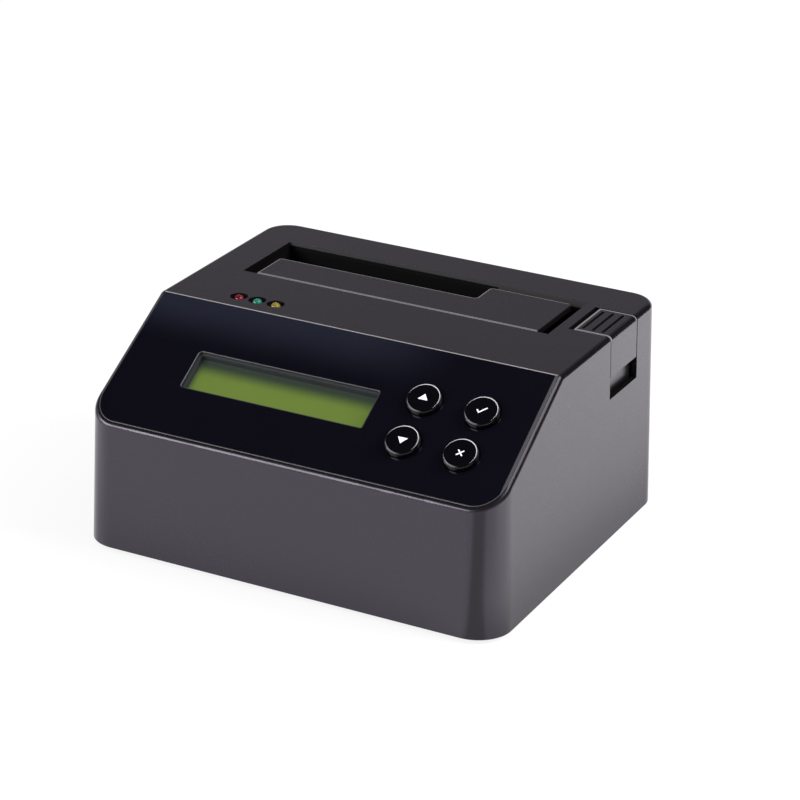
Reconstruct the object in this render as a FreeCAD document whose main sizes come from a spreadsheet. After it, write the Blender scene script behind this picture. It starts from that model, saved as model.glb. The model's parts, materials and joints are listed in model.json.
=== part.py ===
"""Desktop dock that wipes an upright 3.5-inch or 2.5-inch drive, as a parametric document.

Millimetres. +X is the right side, -Y the front, +Z up.
The origin is the middle of the footprint, on the table.
"""
import FreeCAD
import Part
import Sketcher
import math
import os
import re

Vector = FreeCAD.Vector

SIZES = [
    # drives that the dock takes
    ("drive_width", 101.6, "3.5-inch drive, width"),
    ("drive_thick", 26.1, "3.5-inch drive, thickness"),
    ("small_drive_width", 69.85, "2.5-inch drive, width"),
    # case
    ("left_margin", 15.9, "left foot of the case to the slot"),
    ("right_margin", 19.95, "slot to the right foot of the case"),
    ("slope_run", 45.86, "depth of the sloped front, seen from above"),
    ("deck_depth", 27.93, "flat deck from the slope to the slot"),
    ("rear_margin", 18.3, "slot to the rear foot of the case"),
    ("case_height", 68.1, "case without its feet"),
    ("front_height", 39.98, "front wall up to the slope"),
    ("case_draft", 2.2, "how far each wall leans in over the case height"),
    ("corner_radius", 11.3, "upright corners at the foot"),
    ("edge_round", 1.75, "outer edges of the deck and the slope"),
    ("wall", 2.5, "case walls, deck and slope"),
    ("case_play", 0.2, "gap between the case and what sits inside its edge"),
    # base
    ("base_thick", 2.2, "base plate"),
    ("foot_proud", 1.5, "feet below the case"),
    ("foot_sink", 0.8, "feet let into the base plate"),
    ("foot_radius", 5.0, "rubber foot"),
    ("foot_inset", 19.0, "foot centre from the case side"),
    ("case_boss_radius", 4.0, "screw column in each corner"),
    ("case_boss_height", 14.0, "screw column above the base plate"),
    ("case_boss_shift", 3.4, "column centre beyond the corner centre"),
    ("case_screw_radius", 1.25, "case screw shank"),
    ("case_screw_length", 9.0, "case screw under its head"),
    ("case_head_radius", 2.5, "case screw head"),
    ("case_head_height", 1.2, "case screw head"),
    ("screw_play", 0.05, "gap around a screw"),
    # small screws of the boards and the drive bay
    ("screw_radius", 1.0, "small screw shank"),
    ("screw_length", 5.0, "small screw under its head"),
    ("head_radius", 1.9, "small screw head"),
    ("head_height", 1.3, "small screw head"),
    ("boss_radius", 2.4, "small screw boss"),
    # control panel on the slope
    ("panel_thick", 1.0, "gloss panel"),
    ("panel_rim", 1.25, "case rim around the panel"),
    ("panel_top_rim", 0.3, "case rim between the panel and the deck"),
    ("panel_play", 0.1, "gap around the panel"),
    ("window_width", 63.0, "display window"),
    ("window_height", 14.3, "display window"),
    ("window_shift", -13.875, "display centre from the case centre"),
    ("window_rise", 27.72, "display centre up the slope"),
    ("window_corner", 1.0, "corners of the display window"),
    ("window_step", 1.0, "case opening beyond the panel window"),
    # display module
    ("display_gap", 0.2, "display frame behind the case wall"),
    ("frame_width", 71.2, "display frame"),
    ("frame_height", 25.2, "display frame"),
    ("frame_deep", 6.0, "display frame"),
    ("frame_sheet", 0.5, "sheet of the display frame"),
    ("frame_face", 2.9, "frame face beside its view"),
    ("frame_end_face", 4.25, "frame face above and below its view"),
    ("glass_thick", 2.0, "display glass"),
    ("glass_play", 0.1, "gap around the glass"),
    ("board_thick", 1.6, "circuit boards"),
    ("display_board_width", 80.0, "display board"),
    ("display_board_height", 36.0, "display board"),
    ("display_hole_inset", 2.5, "display board holes from its edges"),
    # keys
    ("key_radius", 5.5, "key cap"),
    ("key_proud", 1.8, "key cap above the panel"),
    ("key_bevel", 0.35, "key cap rim"),
    ("key_play", 0.2, "gap around a key cap"),
    ("key_flange", 1.0, "key collar, thickness and overhang"),
    ("key_column_pitch", 19.05, "key spacing across"),
    ("key_row_pitch", 15.88, "key spacing up the slope"),
    ("key_rise", 26.85, "middle of the keys up the slope"),
    ("key_edge", 5.15, "first key column from the key board's edge"),
    ("key_board_gap", 1.0, "key board beside the display board"),
    ("key_board_margin", 6.5, "key board beyond the key rows"),
    ("key_travel", 0.6, "key travel"),
    ("stem_radius", 2.0, "key stem"),
    ("stem_length", 0.6, "key stem under its collar"),
    ("switch_side", 6.0, "key switch body"),
    ("switch_height", 3.5, "key switch body"),
    ("plunger_radius", 1.6, "key switch plunger"),
    ("plunger_deep", 0.8, "plunger inside its switch at rest"),
    ("plunger_play", 0.1, "gap around a plunger"),
    # lamps
    ("lamp_radius", 1.6, "lamp lens"),
    ("lamp_rise", 0.4, "lamp top above the deck"),
    ("lamp_hole_radius", 2.85, "lamp hole in the deck"),
    ("lamp_pitch", 6.55, "lamp spacing"),
    ("lamp_inset", 26.1, "first lamp from the left side"),
    ("lamp_setback", 7.8, "lamps behind the slope's top edge"),
    ("lamp_length", 7.3, "lamp from its board to its top"),
    ("lamp_flange", 0.4, "lamp collar, overhang"),
    ("lamp_flange_height", 1.0, "lamp collar, height"),
    ("lamp_board_end", 8.0, "lamp board beyond the outer lamps"),
    ("lamp_board_half", 4.0, "half depth of the lamp board"),
    # slot and flap
    ("slot_side_gap", 2.8, "slot beyond the drive at each side"),
    ("slot_play", 2.2, "slot depth beyond the drive and the flap"),
    ("flap_thick", 2.0, "flap plate"),
    ("flap_sink", 0.4, "flap below the deck"),
    ("flap_side_gap", 4.2, "flap to the slot's ends"),
    ("flap_front_gap", 0.7, "flap to the slot's front edge"),
    ("flap_back_gap", 3.2, "flap to the slot's back edge"),
    ("flap_corner", 1.2, "flap corners"),
    ("flap_edge", 0.9, "rounded front edge of the flap"),
    ("notch_depth", 13.7, "opening for 2.5-inch drives"),
    ("notch_play", 0.7, "notch width beyond the 2.5-inch drive"),
    ("hinge_drop", 4.7, "flap hinge below the deck"),
    ("hinge_set", 1.4, "flap hinge in front of the slot"),
    ("hinge_pin_radius", 1.0, "flap hinge pin"),
    ("hinge_play", 0.06, "running clearance on the pins"),
    ("hinge_hub", 1.8, "hub around the flap hinge pin"),
    ("hinge_arm_width", 6.0, "flap hinge arms"),
    ("hinge_arm_inset", 9.0, "hinge arms from the flap's ends"),
    ("flap_wire", 0.25, "radius of the flap spring's wire"),
    ("flap_coil_play", 0.3, "flap spring around its pin"),
    ("flap_coil_turns", 6.25, "turns of the flap spring"),
    ("flap_coil_pitch", 0.6, "spacing of the flap spring's turns"),
    ("flap_spring_leg", 10.8, "flap spring's leg under the flap"),
    ("flap_spring_tail", 7.2, "flap spring's leg down the bay wall"),
    # drive bay
    ("bay_wall", 1.8, "bay walls"),
    ("bay_front_room", 3.7, "bay under the deck in front of the slot"),
    ("bay_floor_thick", 2.0, "bay floor"),
    ("bay_floor_room", 6.6, "bay floor above the main board"),
    ("guide_rib", 2.3, "side ribs that guide the drive"),
    ("guide_rib_width", 3.0, "side ribs, front to back"),
    ("guide_rib_gap", 9.0, "side ribs below the deck"),
    ("guide_step", 6.0, "front ribs, from the wall towards the drive"),
    ("guide_step_top", 33.0, "front ribs, top above the case foot"),
    ("bay_ear_width", 8.0, "screw ears of the bay"),
    ("bay_ear_deep", 6.4, "screw ears of the bay"),
    ("bay_ear_thick", 2.5, "screw ears of the bay"),
    ("bay_ear_drop", 6.0, "screw ears below the deck"),
    ("bay_ear_inset", 12.0, "screw ears from the slot's ends"),
    # drive connector
    ("connector_shift", 48.4, "connector centre from the drive's left edge"),
    ("connector_width", 38.0, "connector housing"),
    ("connector_deep", 6.5, "connector housing"),
    ("connector_back", 4.1, "connector from the back of the slot"),
    ("connector_proud", 1.0, "connector above the bay floor"),
    ("connector_play", 0.5, "gap around the connector in the bay floor"),
    ("blade_width", 33.4, "contact blade slot"),
    ("blade_slot", 2.4, "contact blade slot, front to back"),
    ("blade_deep", 6.0, "contact blade slot, depth"),
    ("contact_pitch", 1.27, "contact spacing"),
    ("contact_width", 0.6, "contact strip"),
    ("contact_thick", 0.3, "contact strip"),
    # eject button, lever and spring
    ("eject_lead", 7.1, "eject opening behind the front of the slot"),
    ("eject_width", 20.6, "eject opening, front to back"),
    ("eject_gap", 0.3, "gap around the eject button"),
    ("eject_side_gap", 1.6, "gap at the button's inner edge"),
    ("eject_inset", 3.5, "eject opening beside the slot"),
    ("sill_room", 0.5, "button above the opening's foot when pushed"),
    ("eject_leg", 54.5, "foot of the button's side above the case foot"),
    ("eject_travel", 6.5, "button travel"),
    ("eject_wall", 1.8, "case wall, thinned around the eject opening"),
    ("eject_relief", 3.0, "thinned wall beyond the eject opening"),
    ("skirt_play", 0.3, "button's skirt behind the thinned wall"),
    ("skirt_thick", 1.6, "button's skirt"),
    ("skirt_lap", 3.5, "skirt below the foot of the opening"),
    ("groove_deep", 1.1, "finger grooves"),
    ("groove_wide", 0.9, "finger grooves"),
    ("groove_pitch", 3.3, "finger grooves"),
    ("groove_first", 2.2, "first groove from the button's inner edge"),
    ("groove_end", 2.0, "grooves from the button's ends"),
    ("slide_play", 0.4, "gap at the button's slides"),
    ("slide_plate", 2.0, "slide plate and shelf of the button"),
    ("rail_width", 1.8, "rails beside the slide plate"),
    ("shelf_height", 28.0, "spring shelf above the case foot"),
    ("pusher_set", 6.85, "pusher from the case's right foot"),
    ("pusher_half", 2.0, "half thickness of the pusher"),
    ("lever_width", 6.0, "eject lever"),
    ("lever_thick", 3.0, "eject lever"),
    ("lever_back", 7.9, "lever from the back of the slot"),
    ("lever_play", 0.4, "gap beside the lever"),
    ("lever_pivot_inset", 10.8, "lever pivot inside the slot's right end"),
    ("lever_pin_radius", 1.5, "lever pin"),
    ("lever_hub", 2.7, "hub around the lever pin"),
    ("lever_drop", 3.2, "lever pivot below the bay floor"),
    ("lever_ear", 2.0, "ears that carry the lever pin"),
    ("lever_gap", 0.3, "pusher above the lever"),
    ("finger_gap", 0.8, "lever finger beside the connector"),
    ("finger_width", 3.2, "lever finger"),
    ("finger_sink", 0.3, "lever finger below the bay floor's top"),
    ("spring_radius", 2.8, "eject spring, middle of the wire"),
    ("spring_wire", 0.4, "eject spring, wire radius"),
    ("spring_turns", 7.0, "eject spring"),
    ("spring_post", 1.9, "post inside the eject spring"),
    ("spring_seat", 6.3, "spring seat above the base plate"),
    ("spring_lead", 5.2, "spring axis from the button's front"),
    ("spring_set", 10.1, "spring axis from the case's right foot"),
    # main board
    ("standoff_height", 4.0, "main board above the base plate"),
    ("standoff_radius", 3.0, "main board standoff"),
    ("main_left_gap", 13.0, "main board from the left side"),
    ("main_front_gap", 17.0, "main board from the front"),
    ("main_back_gap", 4.5, "main board from the rear"),
    ("main_right_step", 1.5, "main board beyond the lever pivot"),
    ("main_hole_inset", 4.0, "main board holes from its edges"),
    # rear ports
    ("port_sink", 0.8, "ports behind the rear foot line"),
    ("port_play", 0.3, "gap around a port"),
    ("jack_width", 9.0, "power jack"),
    ("jack_height", 11.0, "power jack"),
    ("jack_deep", 14.0, "power jack"),
    ("jack_bore", 3.2, "power jack bore"),
    ("jack_bore_deep", 10.0, "power jack bore"),
    ("jack_pin", 1.0, "power jack pin"),
    ("jack_shift", 28.0, "power jack from the centre"),
    ("usb_width", 12.0, "data port"),
    ("usb_height", 11.0, "data port"),
    ("usb_deep", 14.5, "data port"),
    ("usb_wall", 1.2, "data port shell"),
    ("usb_floor", 3.0, "data port, back wall"),
    ("usb_tongue_width", 5.7, "data port tongue"),
    ("usb_tongue_height", 3.2, "data port tongue"),
    ("usb_tongue_back", 1.5, "tongue behind the port's mouth"),
    ("usb_shift", 2.0, "data port from the centre"),
    ("power_body", 8.5, "power switch, width and height"),
    ("power_deep", 8.0, "power switch"),
    ("power_radius", 3.6, "power button cap"),
    ("power_shift", -36.0, "power button from the centre"),
    ("power_travel", 2.0, "power button travel"),
    ("power_stem", 1.5, "power button stem"),
    ("power_stem_deep", 2.0, "stem inside its switch at rest"),
    # parts on the main board
    ("processor_side", 14.0, "processor"),
    ("bridge_side", 10.0, "bridge chip"),
    ("chip_thick", 1.4, "chips"),
    ("memory_length", 8.0, "memory chip"),
    ("chip_gap", 3.0, "gap between parts on the main board"),
    ("chip_row", 19.0, "processor from the front of the main board"),
    ("capacitor_radius", 4.0, "capacitors"),
    ("capacitor_height", 11.0, "capacitors"),
    ("capacitor_pitch", 11.0, "capacitors"),
    ("inductor_side", 10.0, "inductor"),
    ("inductor_height", 5.0, "inductor"),
    ("crystal_length", 11.0, "crystal"),
    ("crystal_width", 4.6, "crystal"),
    ("crystal_height", 3.5, "crystal"),
    ("buzzer_radius", 6.0, "buzzer"),
    ("buzzer_height", 8.5, "buzzer"),
    ("ribbon_thick", 0.9, "ribbon cables"),
    ("display_ribbon_width", 20.0, "display ribbon"),
    ("key_ribbon_width", 8.0, "key ribbon"),
    ("lamp_ribbon_width", 6.0, "lamp ribbon"),
    ("socket_deep", 5.0, "ribbon sockets"),
    ("socket_height", 5.5, "ribbon sockets"),
    ("socket_end", 2.0, "ribbon sockets beyond the ribbon"),
]

PLACES = [
    ("slot_width", "drive_width + 2 * slot_side_gap"),
    ("slot_depth", "drive_thick + flap_thick + slot_play"),
    ("case_width", "slot_width + left_margin + right_margin"),
    ("case_depth", "slope_run + deck_depth + slot_depth + rear_margin"),
    ("right_side", "case_width / 2"),
    ("left_side", "-case_width / 2"),
    ("rear_side", "case_depth / 2"),
    ("front_side", "-case_depth / 2"),
    ("case_top", "foot_proud + case_height"),
    ("deck_under", "case_top - wall"),
    ("slope_foot", "foot_proud + front_height"),
    ("slope_angle", "atan((case_height - front_height) / slope_run)"),
    ("slope_length", "slope_run / cos(slope_angle)"),
    ("slope_top_y", "front_side + slope_run"),
    ("slot_left", "left_side + left_margin"),
    ("slot_right", "slot_left + slot_width"),
    ("slot_front", "slope_top_y + deck_depth"),
    ("slot_back", "slot_front + slot_depth"),
    ("base_top", "foot_proud + base_thick"),
    ("boss_x", "right_side - corner_radius + case_boss_shift"),
    ("boss_y", "rear_side - corner_radius + case_boss_shift"),
    ("foot_x", "right_side - foot_inset"),
    ("foot_y", "rear_side - foot_inset"),
    ("main_under", "base_top + standoff_height"),
    ("main_top", "main_under + board_thick"),
    ("floor_under", "main_top + bay_floor_room"),
    ("floor_top", "floor_under + bay_floor_thick"),
    ("bay_front", "slot_front - bay_front_room"),
    ("frame_front", "-wall - display_gap"),
    ("frame_back", "frame_front - frame_deep"),
    ("glass_front", "frame_front - frame_sheet"),
    ("glass_back", "glass_front - glass_thick"),
    ("display_board_back", "frame_back - board_thick"),
    ("display_board_right", "window_shift + display_board_width / 2"),
    ("key_board_left", "display_board_right + key_board_gap"),
    ("key_left", "key_board_left + key_edge"),
    ("key_right", "key_left + key_column_pitch"),
    ("key_middle", "key_left + key_column_pitch / 2"),
    ("key_low", "key_rise - key_row_pitch / 2"),
    ("key_high", "key_rise + key_row_pitch / 2"),
    ("key_collar", "-wall - key_play"),
    ("stem_foot", "key_collar - key_flange - stem_length"),
    ("switch_top", "frame_back + switch_height"),
    ("lamp_first", "left_side + lamp_inset"),
    ("lamp_last", "lamp_first + 2 * lamp_pitch"),
    ("lamp_y", "slope_top_y + lamp_setback"),
    ("lamp_board_top", "case_top + lamp_rise - lamp_length"),
    ("flap_top", "case_top - flap_sink"),
    ("flap_under", "flap_top - flap_thick"),
    ("flap_left", "slot_left + flap_side_gap"),
    ("flap_right", "slot_right - flap_side_gap"),
    ("flap_front", "slot_front + flap_front_gap"),
    ("flap_back", "slot_back - flap_back_gap"),
    ("notch_y", "slot_back - notch_depth"),
    ("notch_x", "flap_left + small_drive_width + notch_play"),
    ("hinge_y", "slot_front - hinge_set"),
    ("hinge_z", "case_top - hinge_drop"),
    ("drive_left", "slot_left + slot_side_gap"),
    ("connector_x", "drive_left + connector_shift"),
    ("connector_y", "slot_back - connector_back - connector_deep / 2"),
    ("connector_top", "floor_top + connector_proud"),
    ("eject_x", "slot_right + eject_inset"),
    ("eject_y", "slot_front + eject_lead"),
    ("eject_sill", "foot_proud + eject_leg - eject_travel - sill_room"),
    ("skirt_x", "right_side - eject_wall - case_draft * eject_leg / case_height - skirt_play"),
    ("skirt_foot", "eject_sill - skirt_lap"),
    ("button_x", "eject_x + eject_side_gap"),
    ("button_front", "eject_y + eject_gap"),
    ("button_back", "eject_y + eject_width - eject_gap"),
    ("slide_x", "slot_right + bay_wall + slide_play"),
    ("shelf_z", "foot_proud + shelf_height"),
    ("pusher_x", "right_side - pusher_set - pusher_half"),
    ("lever_x", "slot_right - lever_pivot_inset"),
    ("lever_z", "floor_under - lever_drop"),
    ("lever_top", "lever_z + lever_thick / 2"),
    ("lever_rear", "slot_back - lever_back"),
    ("lever_front", "lever_rear - lever_width"),
    ("finger_x", "connector_x + connector_width / 2 + finger_gap"),
    ("spring_x", "right_side - spring_set"),
    ("spring_y", "button_front + spring_lead"),
    ("spring_foot", "base_top + spring_seat"),
    ("main_left", "left_side + main_left_gap"),
    ("main_right", "lever_x + main_right_step"),
    ("main_front", "front_side + main_front_gap"),
    ("main_back", "rear_side - main_back_gap"),
    ("port_face", "rear_side - port_sink"),
    ("socket_top", "main_top + socket_height"),
]

SHEET_OF = {alias: "sizes" for alias, value, note in SIZES}
SHEET_OF.update({alias: "places" for alias, text in PLACES})
WORD = re.compile(r"[a-z][a-z_]*")
NEAR = 0.01
CONTACT_COUNT = 22
GROOVE_COUNT = 3
CAPACITOR_COUNT = 3

doc = FreeCAD.newDocument("drive_eraser_dock")
sub_parts = []


def formula(text):
    """Point each size and place that a formula names at its cell."""
    def cell(match):
        word = match.group()
        return f"{SHEET_OF[word]}.{word}" if word in SHEET_OF else word
    return WORD.sub(cell, text)


def fill_sheets():
    sizes = doc.addObject("Spreadsheet::Sheet", "sizes")
    for row, (alias, value, note) in enumerate(SIZES, 1):
        sizes.set(f"A{row}", note)
        sizes.set(f"B{row}", str(value))
        sizes.setAlias(f"B{row}", alias)
    doc.recompute()
    places = doc.addObject("Spreadsheet::Sheet", "places")
    for row, (alias, text) in enumerate(PLACES, 1):
        places.set(f"A{row}", alias)
        places.set(f"B{row}", "=" + formula(text))
        places.setAlias(f"B{row}", alias)
        doc.recompute()


def bind(thing, formulas):
    for name, text in formulas.items():
        thing.setExpression(name, formula(text))


def place(thing, x, y, z, sloped=False):
    """Put a thing at a point, or at a point given across, up and out of the slope."""
    if sloped:
        thing.Placement = FreeCAD.Placement(Vector(), FreeCAD.Rotation(Vector(1, 0, 0), 1))
        bind(thing, {"Placement.Rotation.Angle": "slope_angle"})
        y, z = (f"front_side + ({y}) * cos(slope_angle) - ({z}) * sin(slope_angle)",
                f"slope_foot + ({y}) * sin(slope_angle) + ({z}) * cos(slope_angle)")
    bind(thing, {"Placement.Base.x": x, "Placement.Base.y": y, "Placement.Base.z": z})
    return thing


def box(x, y, z, sloped=False):
    """A block between two formulas along each axis."""
    block = doc.addObject("Part::Box", "block")
    spans = zip(("Length", "Width", "Height"), (x, y, z))
    bind(block, {name: f"({high}) - ({low})" for name, (low, high) in spans})
    return place(block, x[0], y[0], z[0], sloped)


def centred(middle, width):
    """The span of a width about a middle."""
    return (f"({middle}) - ({width}) / 2", f"({middle}) + ({width}) / 2")


def rod(radius, x, y, z, sloped=False):
    """A cylinder along the axis whose place is a pair of formulas."""
    spans = [isinstance(span, tuple) for span in (x, y, z)]
    axis = spans.index(True)
    low, high = (x, y, z)[axis]
    cylinder = doc.addObject("Part::Cylinder", "rod")
    bind(cylinder, {"Radius": radius, "Height": f"({high}) - ({low})"})
    start = [low if spans[index] else text for index, text in enumerate((x, y, z))]
    turn = (FreeCAD.Rotation(Vector(0, 1, 0), 90), FreeCAD.Rotation(Vector(1, 0, 0), -90), FreeCAD.Rotation())
    cylinder.Placement = FreeCAD.Placement(Vector(), turn[axis])
    return place(cylinder, *start, sloped)


def join(*pieces):
    fused = doc.addObject("Part::MultiFuse", "joined")
    fused.Shapes = list(pieces)
    fused.Refine = True
    return fused


def group(*pieces):
    """Separate solids that share one node."""
    compound = doc.addObject("Part::Compound", "group")
    compound.Links = list(pieces)
    return compound


def cut(base, *tools):
    carved = doc.addObject("Part::Cut", "cut")
    carved.Base = base
    carved.Tool = tools[0] if len(tools) == 1 else group(*tools)
    carved.Refine = True
    return carved


def common(first, second):
    shared = doc.addObject("Part::Common", "shared")
    shared.Base = first
    shared.Tool = second
    return shared


def keep(label, piece):
    piece.Label = label
    sub_parts.append(piece)
    return piece


def plane_of(body, role):
    return next(feature for feature in body.Origin.OriginFeatures if feature.Role == role)


def new_sketch(body, role):
    sketch = body.newObject("Sketcher::SketchObject", "outline")
    sketch.AttachmentSupport = (plane_of(body, role), "")
    sketch.MapMode = "FlatFace"
    return sketch


def draw_polygon(sketch, corners):
    """A closed outline through corners, each a pair of formulas tied to the sketch's origin."""
    values = [[sketch.evalExpression(formula(text)) for text in corner] for corner in corners]
    points = [Vector(float(across), float(up), 0) for across, up in values]
    for index, point in enumerate(points):
        sketch.addGeometry(Part.LineSegment(point, points[(index + 1) % len(points)]), False)
    last = len(points)
    for index in range(last):
        sketch.addConstraint(Sketcher.Constraint("Coincident", index, 2, (index + 1) % last, 1))
    for index, (point, texts) in enumerate(zip(points, corners)):
        for kind, value, text in zip(("DistanceX", "DistanceY"), point, texts):
            number = sketch.addConstraint(Sketcher.Constraint(kind, -1, 1, index, 1, value))
            sketch.setExpression(f"Constraints[{number}]", formula(text))


def draw_rounded(sketch, width, depth, radius):
    """A rectangle with round corners about the sketch's origin."""
    start_width, start_depth, start_radius = 100.0, 80.0, 10.0
    x, y = start_width / 2, start_depth / 2
    near_x, near_y = x - start_radius, y - start_radius
    sides = [((-near_x, -y), (near_x, -y)), ((x, -near_y), (x, near_y)),
             ((near_x, y), (-near_x, y)), ((-x, near_y), (-x, -near_y))]
    for first, last in sides:
        sketch.addGeometry(Part.LineSegment(Vector(*first, 0), Vector(*last, 0)), False)
    quarter = math.pi / 2
    centres = [(near_x, -near_y), (near_x, near_y), (-near_x, near_y), (-near_x, -near_y)]
    for index, centre in enumerate(centres):
        circle = Part.Circle(Vector(*centre, 0), Vector(0, 0, 1), start_radius)
        sketch.addGeometry(Part.ArcOfCircle(circle, (index - 1) * quarter, index * quarter), False)
    for index in range(4):
        sketch.addConstraint(Sketcher.Constraint("Tangent", index, 2, 4 + index, 1))
        sketch.addConstraint(Sketcher.Constraint("Tangent", 4 + index, 2, (index + 1) % 4, 1))
        sketch.addConstraint(Sketcher.Constraint(("Horizontal", "Vertical")[index % 2], index))
    for index in range(4, 7):
        sketch.addConstraint(Sketcher.Constraint("Equal", index, index + 1))
    sketch.addConstraint(Sketcher.Constraint("Symmetric", 4, 3, 6, 3, -1, 1))
    driven = ((Sketcher.Constraint("DistanceX", 3, 1, 1, 1, start_width), width),
              (Sketcher.Constraint("DistanceY", 0, 1, 2, 1, start_depth), depth),
              (Sketcher.Constraint("Radius", 4, start_radius), radius))
    for constraint, text in driven:
        number = sketch.addConstraint(constraint)
        sketch.setExpression(f"Constraints[{number}]", formula(text))


def prism(corners, role, low, high):
    """A body padded from an outline on one of its planes, between two places along the plane's normal."""
    body = doc.addObject("PartDesign::Body", "prism")
    sketch = new_sketch(body, role)
    draw_polygon(sketch, corners)
    bind(sketch, {"AttachmentOffset.Base.z": low})
    pad = body.newObject("PartDesign::Pad", "pad")
    pad.Profile = sketch
    bind(pad, {"Length": f"({high}) - ({low})"})
    return body


def turned(corners):
    """A body of revolution about its own Z axis, from an outline of radius and height."""
    body = doc.addObject("PartDesign::Body", "turned")
    sketch = new_sketch(body, "XZ_Plane")
    draw_polygon(sketch, corners)
    revolution = body.newObject("PartDesign::Revolution", "revolution")
    revolution.Profile = sketch
    revolution.ReferenceAxis = (sketch, ["V_Axis"])
    return body


def coil(radius, wire, pitch, height):
    """A helical wire about its body's Z axis."""
    body = doc.addObject("PartDesign::Body", "coil")
    sketch = new_sketch(body, "XZ_Plane")
    start_radius, start_wire = 3.0, 0.4
    sketch.addGeometry(Part.Circle(Vector(start_radius, 0, 0), Vector(0, 0, 1), start_wire), False)
    driven = ((Sketcher.Constraint("Radius", 0, start_wire), wire),
              (Sketcher.Constraint("DistanceX", -1, 1, 0, 3, start_radius), radius))
    for constraint, text in driven:
        number = sketch.addConstraint(constraint)
        sketch.setExpression(f"Constraints[{number}]", formula(text))
    sketch.addConstraint(Sketcher.Constraint("DistanceY", -1, 1, 0, 3, 0))
    helix = body.newObject("PartDesign::AdditiveHelix", "helix")
    helix.Profile = sketch
    helix.ReferenceAxis = (sketch, ["V_Axis"])
    helix.Mode = "pitch-height-angle"
    bind(helix, {"Pitch": pitch, "Height": height})
    return body


def case_block(inset, foot, top, sunk):
    """The drafted case form, drawn in by an inset, with its slope lowered by a depth."""
    body = doc.addObject("PartDesign::Body", "case_form")
    sketches = []
    for level in (foot, top):
        sketch = new_sketch(body, "XY_Plane")
        lean = f"({inset}) + case_draft * (({level}) - foot_proud) / case_height"
        draw_rounded(sketch, f"case_width - 2 * ({lean})", f"case_depth - 2 * ({lean})",
                     f"corner_radius - ({lean})")
        bind(sketch, {"AttachmentOffset.Base.z": level})
        sketches.append(sketch)
    doc.recompute()
    loft = body.newObject("PartDesign::AdditiveLoft", "walls")
    loft.Profile = sketches[0]
    loft.Sections = [sketches[1]]
    loft.Ruled = True
    doc.recompute()
    slope = new_sketch(body, "YZ_Plane")
    low_y = f"front_side - slope_run + ({sunk}) * sin(slope_angle)"
    low_z = f"slope_foot - slope_run * tan(slope_angle) - ({sunk}) * cos(slope_angle)"
    high_y = f"slope_top_y + slope_run + ({sunk}) * sin(slope_angle)"
    high_z = f"case_top + slope_run * tan(slope_angle) - ({sunk}) * cos(slope_angle)"
    draw_polygon(slope, [(low_y, low_z), (high_y, high_z), (low_y, high_z)])
    pocket = body.newObject("PartDesign::Pocket", "slope")
    pocket.Profile = slope
    pocket.Type = "ThroughAll"
    pocket.SideType = "Symmetric"
    doc.recompute()
    return body


def round_case_edges(body):
    """Round the outer edges of the deck and the slope."""
    places = doc.places
    angle = math.radians(float(places.slope_angle))
    normal = Vector(0, -math.sin(angle), math.cos(angle))
    slope_point = Vector(0, places.front_side, places.slope_foot)

    def on_face(edge):
        points = [vertex.Point for vertex in edge.Vertexes] + [edge.valueAt(sum(edge.ParameterRange) / 2)]
        on_deck = all(abs(point.z - places.case_top) < NEAR for point in points)
        on_slope = all(abs((point - slope_point).dot(normal)) < NEAR for point in points)
        return on_deck or on_slope

    base = body.Tip
    names = [f"Edge{index}" for index, edge in enumerate(base.Shape.Edges, 1) if on_face(edge)]
    fillet = body.newObject("PartDesign::Fillet", "edges")
    fillet.Base = (base, names)
    bind(fillet, {"Radius": "edge_round"})
    doc.recompute()


def screw(shank, head, head_height, length, x, y, z, sloped=False, down=False):
    """A screw whose seat under the head is at a point, driven up and out, or down."""
    sign = "-" if down else ""
    under = "" if down else "-"
    body = turned([("0", f"{under}({head_height})"), (head, f"{under}({head_height})"), (head, "0"),
                   (shank, "0"), (shank, f"{sign}({length})"), ("0", f"{sign}({length})")])
    return place(body, x, y, z, sloped)


def four_points(x, y):
    """The four points at plus and minus two formulas."""
    return [(f"{side}({x})", f"{end}({y})") for side in ("", "-") for end in ("", "-")]


def display_holes():
    """Screw places of the display board, across and up the slope."""
    across = "(display_board_width / 2 - display_hole_inset)"
    up = "(display_board_height / 2 - display_hole_inset)"
    return [(f"window_shift {side} {across}", f"window_rise {end} {up}") for side in "-+" for end in "-+"]


def key_holes():
    """Screw places of the key board, across and up the slope."""
    return [("key_middle", row) for row in ("key_low", "key_high")]


def lamp_holes():
    """Screw places of the lamp board."""
    reach = "(lamp_board_end - boss_radius)"
    return [(f"lamp_first - {reach}", "lamp_y"), (f"lamp_last + {reach}", "lamp_y")]


def bay_holes():
    """Screw places of the drive bay under the deck."""
    front = "bay_front - bay_wall - bay_ear_deep / 2"
    back = "slot_back + bay_wall + bay_ear_deep / 2"
    return [(x, y) for x in BAY_EARS for y in (front, back)]


def main_holes():
    """Screw places of the main board."""
    across = ("main_left + main_hole_inset", "main_right - main_hole_inset")
    along = ("main_front + main_hole_inset", "main_back - main_hole_inset")
    return [(x, y) for x in across for y in along]


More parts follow.
